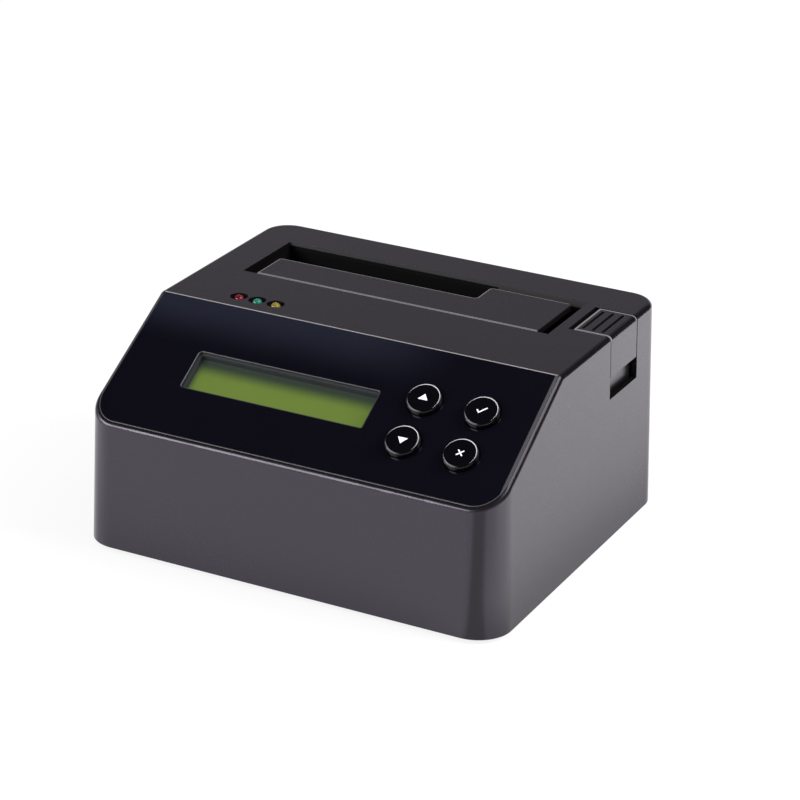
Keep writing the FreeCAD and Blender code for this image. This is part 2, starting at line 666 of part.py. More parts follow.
KEYS = {"up": ("key_left", "key_high"), "ok": ("key_right", "key_high"),
        "down": ("key_left", "key_low"), "back": ("key_right", "key_low")}
LAMPS = {"red": "lamp_first", "green": "lamp_first + lamp_pitch", "yellow": "lamp_last"}
SCREW_HOLE = "screw_radius + screw_play"
BAY_EARS = ("slot_left + bay_ear_inset", "slot_right - bay_ear_inset")
BAY_EAR_UNDER = "deck_under - bay_ear_drop - bay_ear_thick"
CASE_SEAT = "foot_proud + case_head_height"
SLIDE_SPAN = ("button_front + rail_width", "button_back - rail_width")
LEVER_SPAN = ("lever_front", "lever_rear")
PIN_SPAN = ("lever_front - lever_play - lever_ear", "lever_rear + lever_play + lever_ear")
POWER_Z = "main_top + power_body / 2"
POWER_CAP_END = "rear_side - case_play"
POWER_CAP_BACK = "rear_side - 2 * wall - 2 * case_play"
POWER_FACE = f"{POWER_CAP_BACK} - power_travel - port_play"


def panel_form(rim, top_rim):
    """The slab of the slope inside a rim, as thick as the panel."""
    slab = box(("left_side", "right_side"), ("-slope_run", f"slope_length - ({top_rim})"),
               ("-panel_thick", "wall"), sloped=True)
    return common(case_block(rim, "foot_proud", "case_top", "0"), slab)


def window_block(spread):
    """A block through the slope at the display window, larger by a spread."""
    return box(centred("window_shift", f"window_width + 2 * ({spread})"),
               centred("window_rise", f"window_height + 2 * ({spread})"), ("-2 * wall", "wall"), sloped=True)


def rounded_window():
    """The window through the panel, with round corners."""
    body = doc.addObject("PartDesign::Body", "window")
    sketch = new_sketch(body, "XY_Plane")
    draw_rounded(sketch, "window_width", "window_height", "window_corner")
    pad = body.newObject("PartDesign::Pad", "pad")
    pad.Profile = sketch
    bind(pad, {"Length": "3 * wall"})
    return place(body, "window_shift", "window_rise", "-2 * wall", sloped=True)


def key_bores():
    return [rod("key_radius + key_play", x, rise, ("-2 * wall", "wall"), sloped=True)
            for x, rise in KEYS.values()]


def shell_bosses():
    """The columns inside the shell that take its screws."""
    half_wall = "wall / 2"
    columns = [rod("case_boss_radius", x, y, ("base_top", "base_top + case_boss_height"))
               for x, y in four_points("boss_x", "boss_y")]
    columns += [rod("boss_radius", x, y, ("deck_under - bay_ear_drop", f"deck_under + {half_wall}"))
                for x, y in bay_holes()]
    columns += [rod("boss_radius", x, y, ("lamp_board_top", f"deck_under + {half_wall}"))
                for x, y in lamp_holes()]
    columns += [rod("boss_radius", x, rise, ("frame_back", "-(wall + panel_thick) / 2"), sloped=True)
                for x, rise in display_holes() + key_holes()]
    return columns


def shell_screw_holes():
    holes = [rod("case_screw_radius + screw_play", x, y, ("foot_proud", f"{CASE_SEAT} + case_screw_length"))
             for x, y in four_points("boss_x", "boss_y")]
    holes += [rod(SCREW_HOLE, x, y, (BAY_EAR_UNDER, f"{BAY_EAR_UNDER} + screw_length"))
              for x, y in bay_holes()]
    lamp_seat = "lamp_board_top - board_thick"
    holes += [rod(SCREW_HOLE, x, y, (lamp_seat, f"{lamp_seat} + screw_length")) for x, y in lamp_holes()]
    slope_seat = "display_board_back"
    holes += [rod(SCREW_HOLE, x, rise, (slope_seat, f"{slope_seat} + screw_length"), sloped=True)
              for x, rise in display_holes() + key_holes()]
    return holes


def rear_openings():
    """Windows in the rear wall for the two ports and the power button."""
    through = ("rear_side - 3 * wall", "rear_side + wall")
    ports = [box(centred(f"{port}_shift", f"{port}_width + 2 * port_play"), through,
                 ("main_top - port_play", f"main_top + {port}_height + port_play"))
             for port in ("jack", "usb")]
    return ports + [rod("power_radius + port_play", "power_shift", through, POWER_Z)]


def eject_relief():
    """The hollow that thins the right wall around the eject opening, down to the skirt's lowest place."""
    reach = box(("button_x", "right_side"), ("eject_y - eject_relief", "eject_y + eject_width + eject_relief"),
                ("skirt_foot - eject_travel - sill_room", "deck_under"))
    return common(case_block("eject_wall", "foot_proud", "case_top", "0"), reach)


def upper_shell(outer, cavity):
    through_deck = ("deck_under - wall", "case_top + wall")
    openings = [panel_form("panel_rim - panel_play", "panel_top_rim - panel_play")]
    openings += [window_block("window_step"), *key_bores()]
    openings += [rod("lamp_hole_radius", x, "lamp_y", through_deck) for x in LAMPS.values()]
    openings.append(box(("slot_left", "slot_right"), ("slot_front", "slot_back"), through_deck))
    openings.append(box(("eject_x", "right_side + wall"), ("eject_y", "eject_y + eject_width"),
                        ("eject_sill", "case_top + wall")))
    openings.append(eject_relief())
    openings += rear_openings() + shell_screw_holes()
    keep("upper_shell", cut(join(cut(outer, cavity), *shell_bosses()), join(*openings)))


def base_plate():
    body = doc.addObject("PartDesign::Body", "plate")
    sketch = new_sketch(body, "XY_Plane")
    inset = "(wall + case_play)"
    draw_rounded(sketch, f"case_width - 2 * {inset}", f"case_depth - 2 * {inset}", f"corner_radius - {inset}")
    bind(sketch, {"AttachmentOffset.Base.z": "foot_proud"})
    pad = body.newObject("PartDesign::Pad", "pad")
    pad.Profile = sketch
    bind(pad, {"Length": "base_thick"})
    raised = [rod("standoff_radius", x, y, ("base_top", "main_under")) for x, y in main_holes()]
    raised.append(rod("spring_radius + spring_wire", "spring_x", "spring_y", ("base_top", "spring_foot")))
    raised.append(rod("spring_post", "spring_x", "spring_y", ("base_top", "spring_foot + spring_seat")))
    holes = [rod("foot_radius + case_play", x, y, ("0", "foot_proud + foot_sink"))
             for x, y in four_points("foot_x", "foot_y")]
    for x, y in four_points("boss_x", "boss_y"):
        holes.append(rod("case_head_radius + case_play", x, y, ("0", CASE_SEAT)))
        holes.append(rod("case_screw_radius + screw_play", x, y, ("0", "base_top + base_thick")))
    holes += [rod(SCREW_HOLE, x, y, ("main_top - screw_length", "main_top")) for x, y in main_holes()]
    keep("base_plate", cut(join(body, *raised), join(*holes)))


def feet_and_case_screws():
    keep("rubber_feet", group(*[rod("foot_radius", x, y, ("0", "foot_proud + foot_sink"))
                                for x, y in four_points("foot_x", "foot_y")]))
    form = ("case_screw_radius", "case_head_radius", "case_head_height", "case_screw_length")
    keep("case_screws", group(*[screw(*form, x, y, CASE_SEAT) for x, y in four_points("boss_x", "boss_y")]))


def small_screws(label, points, seat, sloped=False, down=False):
    """A group of the small screws, each with its head under or on the seat."""
    form = ("screw_radius", "head_radius", "head_height", "screw_length")
    screws = [screw(*form, x, y, seat, sloped, down) for x, y in points]
    keep(label, group(*screws))


def control_panel():
    form = panel_form("panel_rim", "panel_top_rim")
    keep("control_panel", cut(form, join(rounded_window(), *key_bores())))


def display_module():
    def block(width, height, span):
        return box(centred("window_shift", width), centred("window_rise", height), span, sloped=True)

    inside = "(frame_sheet + glass_play)"
    frame = block("frame_width", "frame_height", ("frame_back", "frame_front"))
    hollow = block("frame_width - 2 * frame_sheet", "frame_height - 2 * frame_sheet",
                   ("frame_back - wall", "glass_front"))
    view = block("frame_width - 2 * frame_face", "frame_height - 2 * frame_end_face", ("frame_back", "wall"))
    keep("display_frame", cut(frame, join(hollow, view)))
    for label, span in (("display_glass", ("glass_back", "glass_front")),
                        ("display_backlight", ("frame_back", "glass_back"))):
        keep(label, block(f"frame_width - 2 * {inside}", f"frame_height - 2 * {inside}", span))
    board = block("display_board_width", "display_board_height", ("display_board_back", "frame_back"))
    holes = [rod(SCREW_HOLE, x, rise, ("display_board_back - wall", "frame_back + wall"), sloped=True)
             for x, rise in display_holes()]
    keep("display_board", cut(board, *holes))


def keys():
    cap = [("0", "stem_foot"), ("stem_radius", "stem_foot"), ("stem_radius", "key_collar - key_flange"),
           ("key_radius + key_flange", "key_collar - key_flange"), ("key_radius + key_flange", "key_collar"),
           ("key_radius", "key_collar"), ("key_radius", "key_proud - key_bevel"),
           ("key_radius - key_bevel", "key_proud"), ("0", "key_proud")]
    plunger = ("switch_top - plunger_deep", "stem_foot")
    bore_foot = f"{plunger[0]} - key_travel - key_play"
    switches = []
    for name, (x, rise) in KEYS.items():
        keep(f"key_{name}", place(turned(cap), x, rise, "0", sloped=True))
        keep(f"key_plunger_{name}", rod("plunger_radius", x, rise, plunger, sloped=True))
        body = box(centred(x, "switch_side"), centred(rise, "switch_side"), ("frame_back", "switch_top"),
                   sloped=True)
        bore = rod("plunger_radius + plunger_play", x, rise, (bore_foot, "switch_top + wall"), sloped=True)
        switches.append(cut(body, bore))
    keep("key_switches", group(*switches))
    board = box(("key_board_left", "key_right + key_edge"),
                ("key_low - key_board_margin", "key_high + key_board_margin"),
                ("display_board_back", "frame_back"), sloped=True)
    holes = [rod(SCREW_HOLE, x, rise, ("display_board_back - wall", "frame_back + wall"), sloped=True)
             for x, rise in key_holes()]
    keep("key_board", cut(board, *holes))


def lamps():
    for colour, x in LAMPS.items():
        dome = doc.addObject("Part::Sphere", "dome")
        bind(dome, {"Radius": "lamp_radius"})
        place(dome, x, "lamp_y", "case_top + lamp_rise - lamp_radius")
        barrel = rod("lamp_radius", x, "lamp_y", ("lamp_board_top", "case_top + lamp_rise - lamp_radius"))
        collar = rod("lamp_radius + lamp_flange", x, "lamp_y",
                     ("lamp_board_top", "lamp_board_top + lamp_flange_height"))
        keep(f"lamp_{colour}", join(collar, barrel, dome))
    board = box(("lamp_first - lamp_board_end", "lamp_last + lamp_board_end"),
                centred("lamp_y", "2 * lamp_board_half"), ("lamp_board_top - board_thick", "lamp_board_top"))
    holes = [rod(SCREW_HOLE, x, y, ("lamp_board_top - 2 * board_thick", "lamp_board_top + board_thick"))
             for x, y in lamp_holes()]
    keep("lamp_board", cut(board, *holes))


def round_flap(body):
    """Round the flap's free corners and its front upper edge."""
    places = doc.places
    doc.recompute()
    base = body.Tip

    def is_free_corner(edge):
        first, last = (vertex.Point for vertex in edge.Vertexes)
        upright = abs(first.x - last.x) < NEAR and abs(first.y - last.y) < NEAR
        return upright and first.y > places.flap_front + NEAR

    def is_front_edge(edge):
        points = [vertex.Point for vertex in edge.Vertexes]
        at_front = all(abs(point.y - places.flap_front) < NEAR for point in points)
        return at_front and all(abs(point.z - places.flap_top) < NEAR for point in points)

    for test, radius in ((is_free_corner, "flap_corner"), (is_front_edge, "flap_edge")):
        names = [f"Edge{index}" for index, edge in enumerate(body.Tip.Shape.Edges, 1) if test(edge)]
        fillet = body.newObject("PartDesign::Fillet", "rounding")
        fillet.Base = (base, names)
        bind(fillet, {"Radius": radius})
        doc.recompute()
        base = fillet


def slot_flap():
    outline = [("flap_left", "flap_front"), ("flap_right", "flap_front"), ("flap_right", "flap_back"),
               ("notch_x", "flap_back"), ("notch_x", "notch_y"), ("flap_left", "notch_y")]
    plate = prism(outline, "XY_Plane", "flap_under", "flap_top")
    round_flap(plate)
    arm_foot = "hinge_z - hinge_pin_radius"
    arm_end = "flap_front + 2 * hinge_hub"
    pieces = [plate]
    bores = []
    arms = (("flap_left + hinge_arm_inset", "flap_left + hinge_arm_inset + hinge_arm_width"),
            ("flap_right - hinge_arm_inset - hinge_arm_width", "flap_right - hinge_arm_inset"))
    for span in arms:
        pieces.append(box(span, ("hinge_y", arm_end), (arm_foot, "deck_under - slide_play")))
        pieces.append(box(span, ("flap_front", arm_end), (arm_foot, "flap_under + flap_thick / 2")))
        pieces.append(rod("hinge_hub", span, "hinge_y", "hinge_z"))
        bores.append(rod("hinge_pin_radius + hinge_play", span, "hinge_y", "hinge_z"))
    keep("slot_flap", cut(join(*pieces), *bores))
    pin_span = ("slot_left - bay_wall", "slot_right + bay_wall")
    keep("flap_hinge_pin", rod("hinge_pin_radius", pin_span, "hinge_y", "hinge_z"))


def flap_spring():
    """A torsion spring on the hinge pin, with one leg under the flap and one down the bay's front wall."""
    coil_radius = "(hinge_pin_radius + flap_coil_play + flap_wire)"
    length = "(flap_coil_pitch * flap_coil_turns)"
    start = "flap_left + hinge_arm_inset + hinge_arm_width + flap_coil_play + flap_wire"
    wire = coil(coil_radius, "flap_wire", "flap_coil_pitch", length)
    turn = FreeCAD.Rotation(Vector(1, 0, 0), 180) * FreeCAD.Rotation(Vector(0, 1, 0), 90)
    wire.Placement = FreeCAD.Placement(Vector(), turn)
    place(wire, start, "hinge_y", "hinge_z")
    leg = rod("flap_wire", start, ("hinge_y", "hinge_y + flap_spring_leg"), f"hinge_z + {coil_radius}")
    tail = rod("flap_wire", f"{start} + {length}", f"hinge_y - {coil_radius}",
               ("hinge_z - flap_spring_tail", "hinge_z"))
    keep("flap_spring", join(wire, leg, tail))


def drive_bay():
    half_wall = "bay_wall / 2"
    floor_cut = ("floor_under - wall", "floor_top + wall")
    outside = box(("slot_left - bay_wall", "slot_right + bay_wall"),
                  ("bay_front - bay_wall", "slot_back + bay_wall"), ("floor_under", "deck_under"))
    inside = box(("slot_left", "slot_right"), ("bay_front", "slot_back"), ("floor_top", "deck_under + wall"))
    solid = [cut(outside, inside)]
    rib_rise = ("floor_under", "case_top - guide_rib_gap")
    for y in ("slot_front + 2 * guide_rib_width", "slot_back - guide_rib_width"):
        span = centred(y, "guide_rib_width")
        solid.append(box((f"slot_left - {half_wall}", "slot_left + guide_rib"), span, rib_rise))
        solid.append(box(("slot_right - guide_rib", f"slot_right + {half_wall}"), span, rib_rise))
    for x in (*BAY_EARS, "connector_x"):
        solid.append(box(centred(x, "bay_wall"), (f"bay_front - {half_wall}", "bay_front + guide_step"),
                         ("floor_under", "foot_proud + guide_step_top")))
    ear_rise = (BAY_EAR_UNDER, "deck_under - bay_ear_drop")
    for x in BAY_EARS:
        ear = centred(x, "bay_ear_width")
        solid.append(box(ear, ("bay_front - bay_wall - bay_ear_deep", f"bay_front - {half_wall}"), ear_rise))
        solid.append(box(ear, (f"slot_back + {half_wall}", "slot_back + bay_wall + bay_ear_deep"), ear_rise))
    rail = (f"slot_right + {half_wall}", "slide_x + slide_plate")
    rail_rise = ("floor_under", "eject_sill")
    for low, high in (("button_front - slide_play", "button_front + rail_width - slide_play"),
                      ("button_back - rail_width + slide_play", "button_back + slide_play")):
        solid.append(box(rail, (low, high), rail_rise))
    hub = centred("lever_x", "2 * lever_hub")
    for ear in ((PIN_SPAN[0], "lever_front - lever_play"), ("lever_rear + lever_play", PIN_SPAN[1])):
        solid.append(box(hub, ear, ("lever_z - lever_hub", "floor_under + bay_floor_thick / 2")))
    holes = [box(centred("connector_x", "connector_width + 2 * connector_play"),
                 centred("connector_y", "connector_deep + 2 * connector_play"), floor_cut),
             box(("finger_x - lever_play", "lever_x - lever_hub"),
                 ("lever_front - lever_play", "lever_rear + lever_play"), floor_cut),
             rod("hinge_pin_radius + hinge_play", ("slot_left - 2 * bay_wall", "slot_right + 2 * bay_wall"),
                 "hinge_y", "hinge_z"),
             rod("lever_pin_radius + hinge_play", "lever_x", PIN_SPAN, "lever_z")]
    holes += [rod(SCREW_HOLE, x, y, (BAY_EAR_UNDER, "deck_under")) for x, y in bay_holes()]
    keep("drive_bay", cut(join(*solid), join(*holes)))


def drive_connector():
    housing = box(centred("connector_x", "connector_width"), centred("connector_y", "connector_deep"),
                  ("main_top", "connector_top"))
    slot = box(centred("connector_x", "blade_width"), centred("connector_y", "blade_slot"),
               ("connector_top - blade_deep", "connector_top + wall"))
    keep("drive_connector", cut(housing, slot))
    wall_face = "connector_y + blade_slot / 2"
    steps = [index - (CONTACT_COUNT - 1) / 2 for index in range(CONTACT_COUNT)]
    strips = [box(centred(f"connector_x + {step} * contact_pitch", "contact_width"),
                  (f"{wall_face} - contact_thick", wall_face),
                  ("connector_top - blade_deep", "connector_top - contact_pitch")) for step in steps]
    keep("connector_contacts", group(*strips))


def eject_button(outer, cavity):
    """Cap flush with the case, with a skirt, a slide plate, a spring shelf and a pusher inside."""
    corner = box(("button_x", "right_side + wall"), ("button_front", "button_back"),
                 ("foot_proud + eject_leg", "case_top + wall"))
    cap = cut(common(outer, corner), cavity)
    blade = centred("pusher_x", "2 * pusher_half")
    reach = ("slide_x", "pusher_x + pusher_half")
    foot = "lever_top + lever_gap + pusher_half"
    foot_span = ("lever_front + lever_play", "lever_rear - lever_play")
    under_deck = "deck_under - eject_gap"
    pieces = [cap,
              box(("skirt_x - skirt_thick", "skirt_x"), ("button_front", "button_back"),
                  ("skirt_foot", "foot_proud + eject_leg + skirt_thick")),
              box(blade, (SLIDE_SPAN[0], foot_span[1]), ("shelf_z", "deck_under + wall / 2")),
              box(reach, SLIDE_SPAN, (f"{under_deck} - slide_plate", under_deck)),
              box(("slide_x", "slide_x + slide_plate"), SLIDE_SPAN, ("shelf_z", under_deck)),
              box(reach, SLIDE_SPAN, ("shelf_z", "shelf_z + slide_plate")),
              box(blade, foot_span, (foot, "shelf_z + slide_plate / 2")),
              rod("pusher_half", "pusher_x", foot_span, foot)]
    grooves = [box(centred(f"button_x + groove_first + {index} * groove_pitch", "groove_wide"),
                   ("button_front + groove_end", "button_back - groove_end"),
                   ("case_top - groove_deep", "case_top + wall")) for index in range(GROOVE_COUNT)]
    keep("eject_button", cut(join(*pieces), *grooves))


def eject_lever():
    bar = box(("finger_x", "pusher_x + pusher_half"), LEVER_SPAN, ("lever_z - lever_thick / 2", "lever_top"))
    finger = box(("finger_x", "finger_x + finger_width"), LEVER_SPAN, ("lever_z", "floor_top - finger_sink"))
    hub = rod("lever_hub", "lever_x", LEVER_SPAN, "lever_z")
    bore = rod("lever_pin_radius + hinge_play", "lever_x", LEVER_SPAN, "lever_z")
    keep("eject_lever", cut(join(bar, finger, hub), bore))
    keep("eject_lever_pin", rod("lever_pin_radius", "lever_x", PIN_SPAN, "lever_z"))
    height = "(shelf_z - spring_foot - 2 * spring_wire)"
    spring = coil("spring_radius", "spring_wire", f"{height} / spring_turns", height)
    keep("eject_spring", place(spring, "spring_x", "spring_y", "spring_foot + spring_wire"))


def main_board():
    board = box(("main_left", "main_right"), ("main_front", "main_back"), ("main_under", "main_top"))
    holes = [rod(SCREW_HOLE, x, y, ("main_under - wall", "main_top + wall")) for x, y in main_holes()]
    keep("main_board", cut(board, *holes))

    first_row = "main_front + chip_row + processor_side / 2"
    next_row = "main_front + chip_row + processor_side + chip_gap"
    memory_x = "connector_x + (bridge_side + memory_length) / 2 + chip_gap"
    capacitor_x = "main_right - capacitor_radius - chip_gap"
    bridge_y = f"{next_row} + bridge_side / 2"
    crystal_x = "connector_x - (processor_side + crystal_length) / 2 - chip_gap"
    inductor_x = "main_right - chip_gap - inductor_side / 2"
    flat_pieces = {
        "processor_chip": ("connector_x", first_row, "processor_side", "processor_side", "chip_thick"),
        "memory_chip": (memory_x, bridge_y, "memory_length", "bridge_side", "chip_thick"),
        "bridge_chip": ("connector_x", bridge_y, "bridge_side", "bridge_side", "chip_thick"),
        "clock_crystal": (crystal_x, first_row, "crystal_length", "crystal_width", "crystal_height"),
        "power_inductor": (inductor_x, f"{next_row} + inductor_side / 2", "inductor_side", "inductor_side",
                           "inductor_height"),
    }
    for label, (x, y, width, deep, height) in flat_pieces.items():
        keep(label, box(centred(x, width), centred(y, deep), ("main_top", f"main_top + {height}")))
    cans = [rod("capacitor_radius", f"{capacitor_x} - {index} * capacitor_pitch", first_row,
                ("main_top", "main_top + capacitor_height")) for index in range(CAPACITOR_COUNT)]
    keep("capacitors", group(*cans))
    keep("buzzer", rod("buzzer_radius", "main_left + chip_gap + buzzer_radius", first_row,
                       ("main_top", "main_top + buzzer_height")))


def ribbons():
    """Sockets on the main board, with flat ribbons up to the display, key and lamp boards."""
    behind = box(("left_side", "right_side"), ("-slope_run", "2 * slope_length"),
                 ("display_board_back", "case_height"), sloped=True)
    ribbon_y = "main_front + 2 * socket_deep"
    runs = {"display": ("window_shift", ribbon_y), "key": ("main_right - key_ribbon_width", ribbon_y),
            "lamp": ("lamp_first + lamp_pitch", "lamp_y")}
    sockets = []
    for name, (x, y) in runs.items():
        width = f"{name}_ribbon_width"
        sockets.append(box(centred(x, f"{width} + 2 * socket_end"), centred(y, "socket_deep"),
                           ("main_top", "socket_top")))
        top = "lamp_board_top - board_thick" if name == "lamp" else "case_top"
        ribbon = box(centred(x, width), centred(y, "ribbon_thick"), ("socket_top", top))
        keep(f"{name}_ribbon", ribbon if name == "lamp" else cut(ribbon, behind))
    keep("ribbon_sockets", group(*sockets))


def power_jack():
    span = ("port_face - jack_deep", "port_face")
    middle = "main_top + jack_height / 2"
    housing = box(centred("jack_shift", "jack_width"), span, ("main_top", "main_top + jack_height"))
    bore = rod("jack_bore", "jack_shift", ("port_face - jack_bore_deep", "port_face + wall"), middle)
    keep("power_jack", cut(housing, bore))
    pin_span = ("port_face - jack_bore_deep", "port_face - jack_pin")
    keep("power_jack_pin", rod("jack_pin", "jack_shift", pin_span, middle))


def usb_port():
    mouth = ("port_face - usb_deep + usb_floor", "port_face + wall")
    shell = box(centred("usb_shift", "usb_width"), ("port_face - usb_deep", "port_face"),
                ("main_top", "main_top + usb_height"))
    hollow = box(centred("usb_shift", "usb_width - 2 * usb_wall"), mouth,
                 ("main_top + usb_wall", "main_top + usb_height - usb_wall"))
    keep("data_port", cut(shell, hollow))
    tongue = box(centred("usb_shift", "usb_tongue_width"), (mouth[0], "port_face - usb_tongue_back"),
                 centred("main_top + usb_height / 2", "usb_tongue_height"))
    keep("data_port_tongue", tongue)


def power_button():
    stem_end = f"{POWER_FACE} - power_stem_deep"
    collar = ("rear_side - 2 * wall", "rear_side - 2 * wall + case_head_height")
    cap = join(rod("power_radius", "power_shift", (POWER_CAP_BACK, POWER_CAP_END), POWER_Z),
               rod("power_radius + port_play + case_play", "power_shift", collar, POWER_Z),
               rod("power_stem", "power_shift", (stem_end, POWER_CAP_BACK), POWER_Z))
    keep("power_button", cap)
    body = box(centred("power_shift", "power_body"), (f"{POWER_FACE} - power_deep", POWER_FACE),
               ("main_top", "main_top + power_body"))
    bore = rod("power_stem + plunger_play", "power_shift",
               (f"{stem_end} - power_travel - port_play", f"{POWER_FACE} + wall"), POWER_Z)
    keep("power_switch", cut(body, bore))


def check_and_write():
    doc.recompute()
    broken = [thing.Label for thing in doc.Objects if {"Invalid", "Error"} & set(thing.State)]
    broken += [piece.Label for piece in sub_parts if piece.Shape.isNull() or not piece.Shape.isValid()]
    if broken:
        raise RuntimeError("failed pieces: " + ", ".join(broken))
    os.makedirs("parts", exist_ok=True)
    for piece in sub_parts:
        piece.Shape.exportStep(os.path.join("parts", f"{piece.Label}.step"))


def main():
    fill_sheets()
    outer = case_block("0", "foot_proud", "case_top", "0")
    round_case_edges(outer)
    cavity = case_block("wall", "foot_proud - wall", "deck_under", "wall")
    upper_shell(outer, cavity)
    base_plate()
    feet_and_case_screws()
    control_panel()
    display_module()
    keys()
    small_screws("display_screws", display_holes() + key_holes(), "display_board_back", sloped=True)
    lamps()
    small_screws("lamp_screws", lamp_holes(), "lamp_board_top - board_thick")
    slot_flap()
    flap_spring()
    drive_bay()
    small_screws("bay_screws", bay_holes(), BAY_EAR_UNDER)
    drive_connector()
    eject_button(outer, cavity)
    eject_lever()
    main_board()
    small_screws("board_screws", main_holes(), "main_top", down=True)
    ribbons()
    power_jack()
    usb_port()
    power_button()
    check_and_write()


main()
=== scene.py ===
import json
import math

import bmesh
import bpy
from bpy.props import FloatProperty, FloatVectorProperty, PointerProperty
from mathutils import Matrix, Vector


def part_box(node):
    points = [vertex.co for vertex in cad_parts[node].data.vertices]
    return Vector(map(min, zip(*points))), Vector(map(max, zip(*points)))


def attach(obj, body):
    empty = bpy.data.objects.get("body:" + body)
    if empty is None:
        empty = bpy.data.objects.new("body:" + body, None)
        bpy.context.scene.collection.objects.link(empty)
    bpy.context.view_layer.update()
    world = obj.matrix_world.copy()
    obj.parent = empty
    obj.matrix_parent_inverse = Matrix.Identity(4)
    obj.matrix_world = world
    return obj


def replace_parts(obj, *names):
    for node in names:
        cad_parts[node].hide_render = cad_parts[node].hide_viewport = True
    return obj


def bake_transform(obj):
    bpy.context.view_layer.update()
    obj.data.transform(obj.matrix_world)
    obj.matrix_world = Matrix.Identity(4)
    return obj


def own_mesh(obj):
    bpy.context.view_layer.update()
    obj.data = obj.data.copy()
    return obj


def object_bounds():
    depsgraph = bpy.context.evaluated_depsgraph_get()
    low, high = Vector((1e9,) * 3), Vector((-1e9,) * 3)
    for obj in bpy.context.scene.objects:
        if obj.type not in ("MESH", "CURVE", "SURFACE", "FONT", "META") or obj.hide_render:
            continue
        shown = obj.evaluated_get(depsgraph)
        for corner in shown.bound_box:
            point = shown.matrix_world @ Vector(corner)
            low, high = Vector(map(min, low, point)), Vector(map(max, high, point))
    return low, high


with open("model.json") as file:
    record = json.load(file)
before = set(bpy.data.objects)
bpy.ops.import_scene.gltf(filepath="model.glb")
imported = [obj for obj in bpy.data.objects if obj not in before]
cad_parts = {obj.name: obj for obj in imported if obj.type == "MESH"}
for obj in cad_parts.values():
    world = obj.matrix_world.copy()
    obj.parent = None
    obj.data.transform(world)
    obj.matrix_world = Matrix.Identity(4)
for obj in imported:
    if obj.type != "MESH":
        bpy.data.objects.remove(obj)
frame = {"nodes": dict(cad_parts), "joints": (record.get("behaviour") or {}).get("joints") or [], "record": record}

bl_info = {
    "name": "Drive Eraser Dock",
    "version": (1, 0, 0),
    "blender": (4, 5, 0),
    "location": "View3D > Sidebar > Dock",
    "description": "Dresses the packed drive eraser dock with its finishes and small pieces",
    "category": "Object",
}

CAD_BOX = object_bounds()
NODES = frame["nodes"]
MM = 0.001
TOUCH = 0.01 * MM
FLAT = 0.999
FACING = 0.95
CASE = "case"
WHITE = (1.0, 1.0, 1.0)
KEY_NAMES = ("up", "ok", "down", "back")
LAMP_NAMES = ("red", "green", "yellow")


def joint(name):
    return next(entry for entry in frame["joints"] if entry["name"] == name)


# directions of the sloped front
OUT = -Vector(joint("key_up_press")["axis"]).normalized()
ACROSS = Vector((1, 0, 0))
UP = OUT.cross(ACROSS)


def colour(name, description, default):
    return FloatVectorProperty(name=name, description=description, subtype="COLOR", size=3, min=0, max=1,
                               default=default)


def length(name, description, default):
    return FloatProperty(name=name, description=description, unit="LENGTH", default=default, min=0,
                         precision=6)


def share(name, description, default):
    return FloatProperty(name=name, description=description, subtype="FACTOR", default=default, min=0,
                         max=1)


def level(name, description, default):
    return FloatProperty(name=name, description=description, default=default, min=0)


